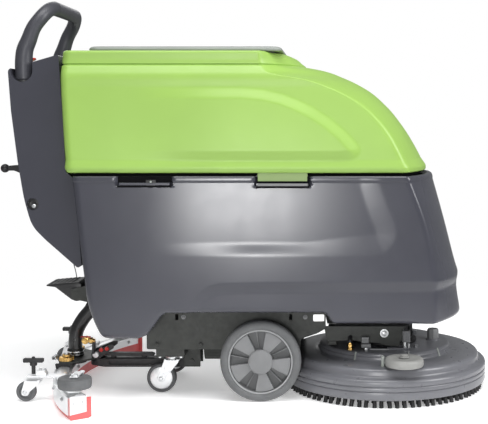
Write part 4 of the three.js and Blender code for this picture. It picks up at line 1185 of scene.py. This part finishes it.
def strap_nut(name, turn, offset):
    """A hexagon nut on the strap, pointing away from the channel."""
    verts, faces = turned_mesh([(0, 0), (5, 0), (5, 3.4), (3, 3.6), (3, 5.6), (0, 5.6)], steps=6)
    x, y, z = verts.T
    out = np.array((-math.cos(turn), math.sin(turn))) * math.copysign(1, offset)
    beside = np.array((-out[1], out[0]))
    base = arc_ring([(offset, 0)], turn)[0, :2]
    flat = base + np.outer(z, out) + np.outer(x, beside)
    welded(piece(name, (np.column_stack((flat, 40 + y)), faces), "steel", "squeegee", 25))


def make_arc_end(side, sign):
    """The blade's folded end, clamped under a small plate that closes the channel."""
    fold = [(20.4, 0), (20.4, 52), (-31, 50), (-31, 3), (-24, 0)]
    cover = [(22.4, 13), (22.4, 57), (-19, 55), (-19, 16)]
    for name, start, end, section, slot in (("blade_end", -0.0005, 0.0035, fold, "blade_red"),
                                            ("channel_end", 0.0037, 0.0062, cover, ZINC)):
        rings = [arc_ring(section, ARC_END + turn, sign) for turn in (start, end)]
        soften(piece(f"{name}_{side}", stack(rings), slot, "squeegee"), 0.6, 2)
    bolt = [(0, 0), (5, 0), (5, 0.8), (3.4, 1.28), (0, 1.44)]
    for k, offset in enumerate((12, -9)):
        x, face, _ = arc_ring([(offset, 0)], ARC_END + 0.0058, sign)[0]
        turned(f"channel_end_bolt_{side}_{k}", [(r, face + sign * h) for r, h in bolt], "steel", "squeegee",
               (x, 0, 38), "y", 20)


def make_guide_roller(side, sign):
    x, y = arc_x(322) + 2, sign * 322
    at, body = (x, y, 0), f"guide_{side}"
    tyre = smooth_closed([(22, 69), (36, 68.2), (40, 71), (40, 91), (36, 93.8), (22, 93)], 2)
    stands_for(turned(f"guide_wheel_{side}", tyre, "rubber_guide", body, at, "z", 64, 50),
               f"guide_roller_{side}")
    hub = [(7.2, 70), (22.4, 70), (22.4, 92), (16, 93.4), (7.2, 93.4)]
    turned(f"guide_hub_{side}", hub, "rubber_guide", body, at, "z", 40, 25)
    axle = [(0, 56), (6.8, 56), (6.8, 94), (11, 94.2), (11, 96), (8, 96.2), (8, 101), (5, 102.4), (0, 102.6)]
    turned(f"guide_axle_{side}", axle, ZINC, "squeegee", at, "z", 24, 25)
    y0, y1 = span(sign, 288, 336)
    box(f"guide_arm_{side}", (x - 14, y0, 58), (x + 14, y1, 64), ZINC, "squeegee", 1.5)
    strut = rounded_outline([(x - 12, 63), (x - 4, 63), (x + 14, 97), (x + 10, 99), (x + 2, 99)], 2, 3)
    prism(f"guide_strut_{side}", strut, *span(sign, 276, 279), ZINC, "squeegee", "y", 0.6)
    y0, y1 = span(sign, 276, 334)
    box(f"guide_yoke_{side}", (x - 10, y0, 94.4), (x + 10, y1, 96.6), ZINC, "squeegee", 0.8)


def make_trailing_caster(side, sign):
    caster = TRAILING_CASTER
    x, y = caster.x, sign * caster.y
    swivel, roll, knob = f"trailing_swivel_{side}", f"trailing_roll_{side}", f"knob_{side}"
    stands_for(caster.make_fork(f"trail_fork_{side}", sign, ZINC, swivel), f"trailing_fork_{side}")
    wheel = caster.make_wheel(f"trail_wheel_{side}", sign, "rubber_guide", "rubber_guide", roll)
    stands_for(wheel, f"trailing_wheel_{side}")
    low, high = y - 13, y + 13
    channel = arc_x(caster.y)
    prism(f"trail_arm_{side}", rectangle(x - 16, channel + 6, 62, 66), low, high, ZINC, "squeegee", "y", 0.8)
    box(f"trail_riser_{side}", (channel - 11, low, 56), (channel + 6, high, 63), ZINC, "squeegee", 1.0)
    clamp = [(x + 9, 65.8), (x + 34, 65.8), (x + 34, 70), (x + 30, 78), (x + 13, 78), (x + 9, 74)]
    prism(f"trail_clamp_{side}", rounded_outline(clamp, 1.6, 3), low + 3, high - 3, ZINC, "squeegee", "y",
          0.6)
    for k, x_bolt in enumerate((x + 16, x + 27)):
        rod(f"trail_clamp_bolt_{side}_{k}", 3.6, 77.6, 81, "steel", "squeegee", "z", (x_bolt, y - sign * 5),
            0.6, 6)
    stem = [(0, 68.6), (5, 68.6), (5, 89), (9, 90), (9, 97), (7, 98.4), (0, 98.4)]
    stands_for(turned(f"knob_stem_{side}", stem, BLACK, knob, (x, y, 0), "z", 28), f"height_knob_{side}")
    bar = rounded_outline(rectangle(x - 25, x + 25, 97.4, 107.8), 2.5, 4)
    prism(f"knob_bar_{side}", bar, y - 6, y + 6, BLACK, knob, "y", 1.5)
    tip = [(0, 107), (4, 107), (4, 110.5), (2.6, 112), (0, 112)]
    turned(f"knob_tip_{side}", tip, BLACK, knob, (x, y, 0), "z", 16)


def make_thumb_nut(side, sign):
    x, y = arc_x(NUT_Y) + 4, sign * NUT_Y
    body = f"nut_{side}"
    profile = [(7.6, 71.6), (18, 71.6), (18, 81), (16.6, 82), (11, 82.2), (11, 87.4), (10, 88.4), (7.6, 88.4)]
    stands_for(turned(f"brass_nut_{side}", profile, "brass", body, (x, y, 0), "z", 40, 25),
               f"thumb_nut_{side}")
    knurl = box_mesh((17.4, -1.4, 72.4), (19.2, 1.4, 80.4))
    for k in range(14):
        placed = spun(knurl, 2 * math.pi * k / 14, x, y)
        soften(piece(f"brass_knurl_{side}_{k}", placed, "brass", body), 0.5, 2)
    rod(f"nut_stud_{side}", 6.8, 50, 92, "steel", "squeegee", "z", (x, y), 1.6, 24)


# ---------------------------------------------------------------- drawbar and carrier
PIVOT_X, PIVOT_Z, YAW_X = -158.0, 62.0, -411.0
YAW_CENTRE = (YAW_X, 0, 0)


def make_drawbar():
    side = [(YAW_X - 2, 47), (YAW_X + 18, 44), (-190, 44), (-172, 49), (-146, 49), (-144, 62), (-146, 75),
            (-172, 75),
            (-196, 66), (YAW_X - 2, 66)]
    outline = rounded_outline(side, [3, 6, 14, 8, 8, 8, 8, 8, 14, 2], 5)
    bar = piece("drawbar_beam", prism_mesh(outline, -20, 20), BLACK, "drawbar")
    bore = turned_mesh(band(0, 7.6, -30, 30), (PIVOT_X, 0, PIVOT_Z), "y", 28)
    hole = turned_mesh(band(0, 6.6, 30, 90), YAW_CENTRE, "z", 28)
    recess = rounded_outline(rectangle(YAW_X + 30, -204, 50, 60), 4, 4)
    carve(bar, closed(bore), closed(hole), prism_mesh(recess, -24, -14), prism_mesh(recess, 14, 24))
    stands_for(soften(bar, 1.0, 2), "squeegee_drawbar")
    eye = [(6.8, 48), (20, 48), (21, 50), (21, 64), (19.6, 66), (6.8, 66)]
    turned("drawbar_eye", eye, BLACK, "drawbar", YAW_CENTRE, "z", 40, 30)


def make_carrier():
    ear_x = arc_x(NUT_Y)
    plan = [(ear_x - 12, -78), (ear_x + 20, -78), (INLET_X + 46, -46), (YAW_X + 4, -19), (YAW_X + 17, 0),
            (YAW_X + 4, 19), (INLET_X + 46, 46), (ear_x + 20, 78), (ear_x - 12, 78), (INLET_X - 34, 30),
            (INLET_X - 34, -30)]
    shape = rounded_outline(plan, [6, 8, 14, 8, 14, 8, 14, 8, 6, 20, 20], 5)
    plate = piece("carrier_plate", prism_mesh(shape, 66.6, 71.0, "z"), DARK, "squeegee")
    holes = ((INLET_X, 0, 22), (ear_x + 4, NUT_Y, 7.6), (ear_x + 4, -NUT_Y, 7.6), (YAW_X, 0, 6.4))
    carve(plate, *[closed(turned_mesh(band(0, r, 50, 90), (x, y, 0), "z", 28)) for x, y, r in holes])
    stands_for(soften(plate, 0.6, 2), "squeegee_carrier")
    pin = [(0, 47.5), (6, 47.5), (6, 71), (11, 71), (11, 77.6), (9, 79), (0, 79.2)]
    turned("carrier_pin", pin, ZINC, "squeegee", YAW_CENTRE, "z", 6, 25)
    cheek = [(ear_x - 22, 66.8), (ear_x - 19, 50), (ear_x - 8, 46), (ear_x + 14, 48), (ear_x + 22, 66.8)]
    for side, sign in SIDES:
        prism(f"carrier_cheek_{side}", rounded_outline(cheek, 3, 4), *span(sign, 74, 77.4), BLACK, "squeegee",
              "y", 0.6)
    coils = 7
    spring = [(ear_x - 28 + 5.2 * math.cos(2 * math.pi * coils * t), -66 + 30 * t,
               77.5 + 5.2 * math.sin(2 * math.pi * coils * t)) for t in np.linspace(0, 1, 150)]
    tube("carrier_spring", spring, 1.3, "steel", "squeegee", 8)


def make_lift_links():
    """The lifting link, its pins and the rail over the drawbar."""
    link = [(-424, 68), (-404, 68), (-392, 78), (-366, 96), (-366, 104), (-378, 104), (-408, 90), (-426, 84)]
    for k, y in enumerate((-27, 23.6)):
        prism(f"lift_link_{k}", rounded_outline(link, 3, 4), y, y + 3.4, BLACK, "drawbar", "y", 0.7)
    top = [(-395, 79), (-270, 79), (-262, 76), (-262, 71), (-380, 71), (-395, 73)]
    prism("lift_rail", rounded_outline(top, 2, 4), -9, 9, BLACK, "drawbar", "y", 1.2)
    for k, x in enumerate((-372, -290)):
        box(f"lift_rail_foot_{k}", (x - 6, -8, 64), (x + 6, 8, 73), BLACK, "drawbar", 1.0)
    pins = ((-414, 79, 8.4, ZINC), (-399, 92, 5.4, "red_plastic"), (-384, 95, 5.4, "red_plastic"))
    for k, (x, z, radius, slot) in enumerate(pins):
        head = [(0, -26.4), (radius, -26.4), (radius, -30), (radius * 0.8, -31.6), (0, -32)]
        turned(f"lift_pin_{k}", head, slot, "drawbar", (x, 0, z), "y", 28)


def make_hose():
    places = [(0, 72.4), (0, 90), (0, 112), (5, 140), (22, 170), (44, 198), (62, 240), (58, 290), (47, 340),
              (42, 385), (40, 430)]
    path = smooth_path([(INLET_X + ahead, 0, z) for ahead, z in places], 140)
    hose = dress(mesh_object("drain_hose", tube_mesh(path, 18.3, 32)), "hose_black", 60)
    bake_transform(hose)
    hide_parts("suction_hose")
    cuff = [(18.6, 72.2), (21.6, 72.2), (21.6, 88), (20.4, 90), (18.6, 90)]
    turned("hose_cuff", cuff, BLACK, "drawbar", INLET_CENTRE, "z", 40, 30)
    for k, z in enumerate((76, 83)):
        turned(f"hose_clip_{k}", band(21.4, 22.6, z - 1.6, z + 1.6), "steel", "drawbar", INLET_CENTRE, "z",
               40, 30)


def make_drain_valve():
    """The brass tap that stands on the drawbar beside the hose."""
    x, z = -438, 119
    barrel = [(0, -52), (6.5, -52), (6.5, -45), (9.5, -44.6), (9.5, -36), (7, -35.6), (7, -28), (9.5, -27.6),
              (9.5, -20), (5.5, -19.4), (5.5, -6), (0, -6)]
    turned("drain_valve", barrel, "brass", "drawbar", (x, 0, z), "y", 8, 25)
    rod("drain_valve_stem", 5.2, x, x + 26, "brass", "drawbar", "x", (-40, z), 1.0, 20)
    turned("drain_valve_collar", band(0, 9, x + 12, x + 20), "brass", "drawbar", (0, -40, z), "x", 6, 25)
    prism("drain_valve_post", rectangle(x + 18, x + 24, 84, z - 4), -44, -24, BLACK, "drawbar", "y", 0.8)
    box("drain_valve_handle", (x - 12, -43, z + 8.6), (x + 14, -36, z + 11.6), "red_plastic", "drawbar", 1.2)


# ---------------------------------------------------------------- seam pockets, latch and tab
def make_pockets():
    """What shows in the finger pockets under the seam on both sides. The back and the line under the lip are
    near-black painted shade, the front lip is painted lighter as a painted highlight, and the tab is in
    painted shade.
    """
    for side, sign in SIDES:
        for name, (low, high, floor) in POCKETS.items():
            # The front lip is in the lighter wheel grey as a painted highlight on the lit ledge; the rear lip
            # keeps the tank's own grey.
            lip_slot = "grey_shell" if name == "rear" else "rim_grey"
            # The back and the line under the lip are near-black painted shade.
            for part, ends, z0, z1, depth, slot, edge in (
                    ("back", 2, floor + 8, SEAM - 1, (228, 233), "painted_shade_black", 0.8),
                    ("lip", 5, floor + 1.5, floor + 8, (227, 240.6), lip_slot, 1.6),
                    ("line", 1, floor - 3, floor + 1, (227, 240.6), "painted_shade_black", 0.8)):
                y0, y1 = span(sign, *depth)
                box(f"pocket_{part}_{name}_{side}", (low + ends, y0, z0), (high - ends, y1, z1), slot,
                    "chassis", edge)
        # The tab is a darker, duller green: painted shade on it inside the pocket.
        y0, y1 = span(sign, 224, 233.4)
        box(f"lifting_tab_{side}", (31, y0, 551.5), (153, y1, LIP + 2), "tab_green_painted_shade", "recovery", 2.0)


def make_latch():
    x, _, z = node_centre("tank_latch")
    low, high = node_box("tank_latch")
    edge = rounded_outline(rectangle(low[0], high[0], low[2], high[2]), 2, 4)
    slide = prism("latch_slide", edge, low[1] + 1.6, high[1], BLACK, "latch", "y", 0.7)
    stands_for(slide, "tank_latch")
    rod("latch_thumb", 2.6, low[1], high[1] - 1, "lid_grey", "latch", "y", (x, z + 2.5), 0.5, 20)


# ---------------------------------------------------------------- inside the tanks
def make_standpipe_and_float():
    low, high = node_box("vacuum_standpipe")
    x, y = node_centre("vacuum_standpipe")[:2]
    at = (x, y, 0)
    pipe = [(20, low[2]), (24, low[2]), (24, high[2] - 2), (22.4, high[2]), (20, high[2])]
    stands_for(turned("stand_pipe", pipe, BLACK, "recovery", at, "z", 56), "vacuum_standpipe")
    base, top = node_box("float_cage")[0][2], node_box("float_cage")[1][2]
    ring = [(18, base), (33, base), (34, base + 1), (34, base + 4), (33, base + 5), (18, base + 5)]
    stands_for(turned("cage_base", ring, "lid_grey", "recovery", at, "z", 48, 30), "float_cage")
    ring = [(27, top - 5), (33, top - 5), (34, top - 4), (34, top - 1), (33, top), (27, top)]
    turned("cage_top", ring, "lid_grey", "recovery", at, "z", 48, 30)
    for k in range(10):
        turn = 2 * math.pi * k / 10
        place = (x + 31 * math.cos(turn), y + 31 * math.sin(turn))
        rod(f"cage_bar_{k}", 2.6, base + 3, top - 3, "lid_grey", "recovery", "z", place, 0.4, 14)
    centre = node_centre("float_ball")[2]
    sphere = [(22 * math.cos(t), centre + 22 * math.sin(t)) for t in np.radians(np.linspace(-90, 90, 25))]
    sphere[0], sphere[-1] = (0, centre - 22), (0, centre + 22)
    sphere[12:13] = [(21.9, centre - 0.9), (22, centre - 0.4), (22, centre + 0.4), (21.9, centre + 0.9)]
    stands_for(turned("float_sphere", sphere, BLACK, "float", at, "z", 48, 40), "float_ball")


def make_batteries():
    for side, _ in SIDES:
        low, high = node_box(f"battery_{side}")
        top = high[2] - 8
        case = box(f"battery_case_{side}", low, (high[0], high[1], top - 24), BLACK, "chassis", 3)
        stands_for(case, f"battery_{side}")
        box(f"battery_lid_{side}", (low[0], low[1], top - 22.5), (high[0], high[1], top), "rubber_dark",
            "chassis", 4)
        middle = (low[1] + high[1]) / 2
        for k, x in enumerate(np.linspace(low[0] + 55, high[0] - 55, 6)):
            rod(f"battery_cap_{side}_{k}", 9, top - 1, top + 2.4, BLACK, "chassis", "z", (x, middle), 0.8, 24)
        post = [(0, top - 1), (9, top - 1), (9, top + 3), (7.4, top + 4), (6.6, high[2]), (0, high[2])]
        for k, x in enumerate((low[0] + 26, high[0] - 26)):
            turned(f"battery_post_{side}_{k}", post, "steel", "chassis", (x, middle, 0), "z", 24, 25)


def make_vacuum_and_controller():
    bottom, top = node_box("vacuum_motor")[0][2], node_box("vacuum_motor")[1][2]
    at = (*node_centre("vacuum_motor")[:2], 0)
    case = [(0, bottom), (40, bottom), (45, bottom + 3), (47, bottom + 8), (47, bottom + 36),
            (44, bottom + 40),
            (44, bottom + 50), (47, bottom + 54), (47, top - 30), (43, top - 23), (24, top - 20),
            (24, top - 2),
            (22, top), (0, top)]
    stands_for(turned("vacuum_case", case, BLACK, "chassis", at, "z", 64, 25), "vacuum_motor")
    turned("vacuum_band", band(43, 45, bottom + 41, bottom + 49), "steel", "chassis", at, "z", 64, 25)
    low, high = node_box("motor_controller")
    stands_for(box("controller_case", (low[0] + 9, low[1], low[2]), high, DARK, "chassis", 3),
               "motor_controller")
    for k, y in enumerate(np.linspace(low[1] + 8, high[1] - 8, 15)):
        box(f"controller_fin_{k}", (low[0], y - 1.6, low[2] + 6), (low[0] + 10, y + 1.6, high[2] - 6), DARK,
            "chassis", 0.8)


# ---------------------------------------------------------------- camera, lights, floor
CAMERA_PLACE = (210.0, -2745.6, 712.1)
CAMERA_PITCH = 2.014  # degrees below level; the lens shift does the rest
FOCAL_PIXELS = 1032.4
PICTURE_WIDTH = 488  # pixels
SHIFT_RIGHT = -86.9  # lens shift in pixels
SHIFT_UP = -60.0
# Place, target, size and power of each area light, in metres and watts.
LIGHTS = {
    "strip": ((-0.19, -3.0, 0.42), (0.0, -0.24, 0.5), (0.14, 0.7), 27),
    "top": ((0.1, -1.3, 3.3), (0.1, 0, 0.4), (2.6, 1.6), 84),
    "front": ((3.0, -1.4, 2.0), (0.3, 0, 0.5), (1.2, 1.6), 78),
    "back": ((-1.6, 3.2, 2.4), (0, 0, 0.5), (3.4, 2.4), 50),
}
FLOOR_REACH = 4.0


def make_camera():
    data = bpy.data.cameras.new("camera")
    data.sensor_width = 36
    data.sensor_fit = "HORIZONTAL"
    data.lens = FOCAL_PIXELS / PICTURE_WIDTH * data.sensor_width
    data.shift_x = SHIFT_RIGHT / PICTURE_WIDTH
    data.shift_y = SHIFT_UP / PICTURE_WIDTH
    camera = bpy.data.objects.new("camera", data)
    bpy.context.scene.collection.objects.link(camera)
    camera.location = Vector(CAMERA_PLACE) * MM
    camera.rotation_euler = Euler((math.pi / 2 - math.radians(CAMERA_PITCH), 0, 0))
    bpy.context.scene.camera = camera


def make_lights():
    for name, (place, target, size, power) in LIGHTS.items():
        data = bpy.data.lights.new(name, "AREA")
        data.shape = "RECTANGLE"
        data.size, data.size_y = size
        data.energy = power
        light = bpy.data.objects.new(name, data)
        bpy.context.scene.collection.objects.link(light)
        light.location = place
        light.rotation_euler = (Vector(target) - Vector(place)).to_track_quat("-Z", "Y").to_euler()


def make_world():
    """A white surround for the camera that lights the machine more softly than it shows."""
    world = bpy.data.worlds.new("studio")
    bpy.context.scene.world = world
    world.use_nodes = True
    nodes, links = world.node_tree.nodes, world.node_tree.links
    shown, lit, mix = nodes["Background"], nodes.new("ShaderNodeBackground"), nodes.new("ShaderNodeMixShader")
    for background, colour, strength in ((shown, (1, 1, 1, 1), 1.0), (lit, (0.97, 0.985, 1, 1), 0.24)):
        background.inputs["Color"].default_value = colour
        background.inputs["Strength"].default_value = strength
    links.new(nodes.new("ShaderNodeLightPath").outputs["Is Camera Ray"], mix.inputs["Fac"])
    links.new(lit.outputs["Background"], mix.inputs[1])
    links.new(shown.outputs["Background"], mix.inputs[2])
    links.new(mix.outputs["Shader"], nodes["World Output"].inputs["Surface"])


def make_floor():
    """A pale floor that thins out to nothing a few metres away, so no edge shows."""
    corners = [(a * FLOOR_REACH, b * FLOOR_REACH, 0) for a, b in ((-1, -1), (1, -1), (1, 1), (-1, 1))]
    mesh = bpy.data.meshes.new("floor")
    mesh.from_pydata(corners, [], [(0, 1, 2, 3)])
    floor = bpy.data.objects.new("floor", mesh)
    bpy.context.scene.collection.objects.link(floor)
    look = Look("pale_floor", 0.9, 0, (("Emission Color", (1, 1, 1, 1)), ("Emission Strength", 0.34)))
    look.colour((0.97, 0.97, 0.97), 0.006, 600)
    away = look.nodes.new("ShaderNodeVectorMath")
    away.operation = "LENGTH"
    look.links.new(look.place, away.inputs[0])
    fade = look.add("MapRange", Value=away.outputs["Value"], From_Min=0.75, From_Max=1.9)
    mix = look.add("MixShader", Fac=fade.outputs["Result"])
    look.links.new(look.shader.outputs["BSDF"], mix.inputs[1])
    look.links.new(look.add("BsdfTransparent").outputs["BSDF"], mix.inputs[2])
    look.links.new(mix.outputs["Shader"], look.nodes["Material Output"].inputs["Surface"])
    mesh.materials.append(look.material)


def dress_cad_nodes():
    """Every CAD node still showing gets its slot's material and slightly rounded edges."""
    for name, node in frame["nodes"].items():
        node.data.materials.clear()
        node.data.materials.append(LOOKS[NODE_SLOTS[name]])
        soften(node, 0.8, 2, 40)


bpy.context.scene.view_settings.view_transform = "Standard"
for make in (make_camera, make_world, make_floor, make_lights, dress_cad_nodes, make_solution_tank,
             make_recovery_tank, make_lid, make_console, make_handle, make_panel, make_buttons, make_dial,
             make_key, make_lever, make_pedal, make_side_plates, make_drive_wheels, make_rear_casters,
             make_deck,
             make_water_fitting, make_deck_bracket, make_brush_motor, make_brush, make_bumper, make_squeegee,
             make_drawbar, make_carrier, make_lift_links, make_hose, make_drain_valve, make_pockets,
             make_latch,
             make_standpipe_and_float, make_batteries, make_vacuum_and_controller):
    make()
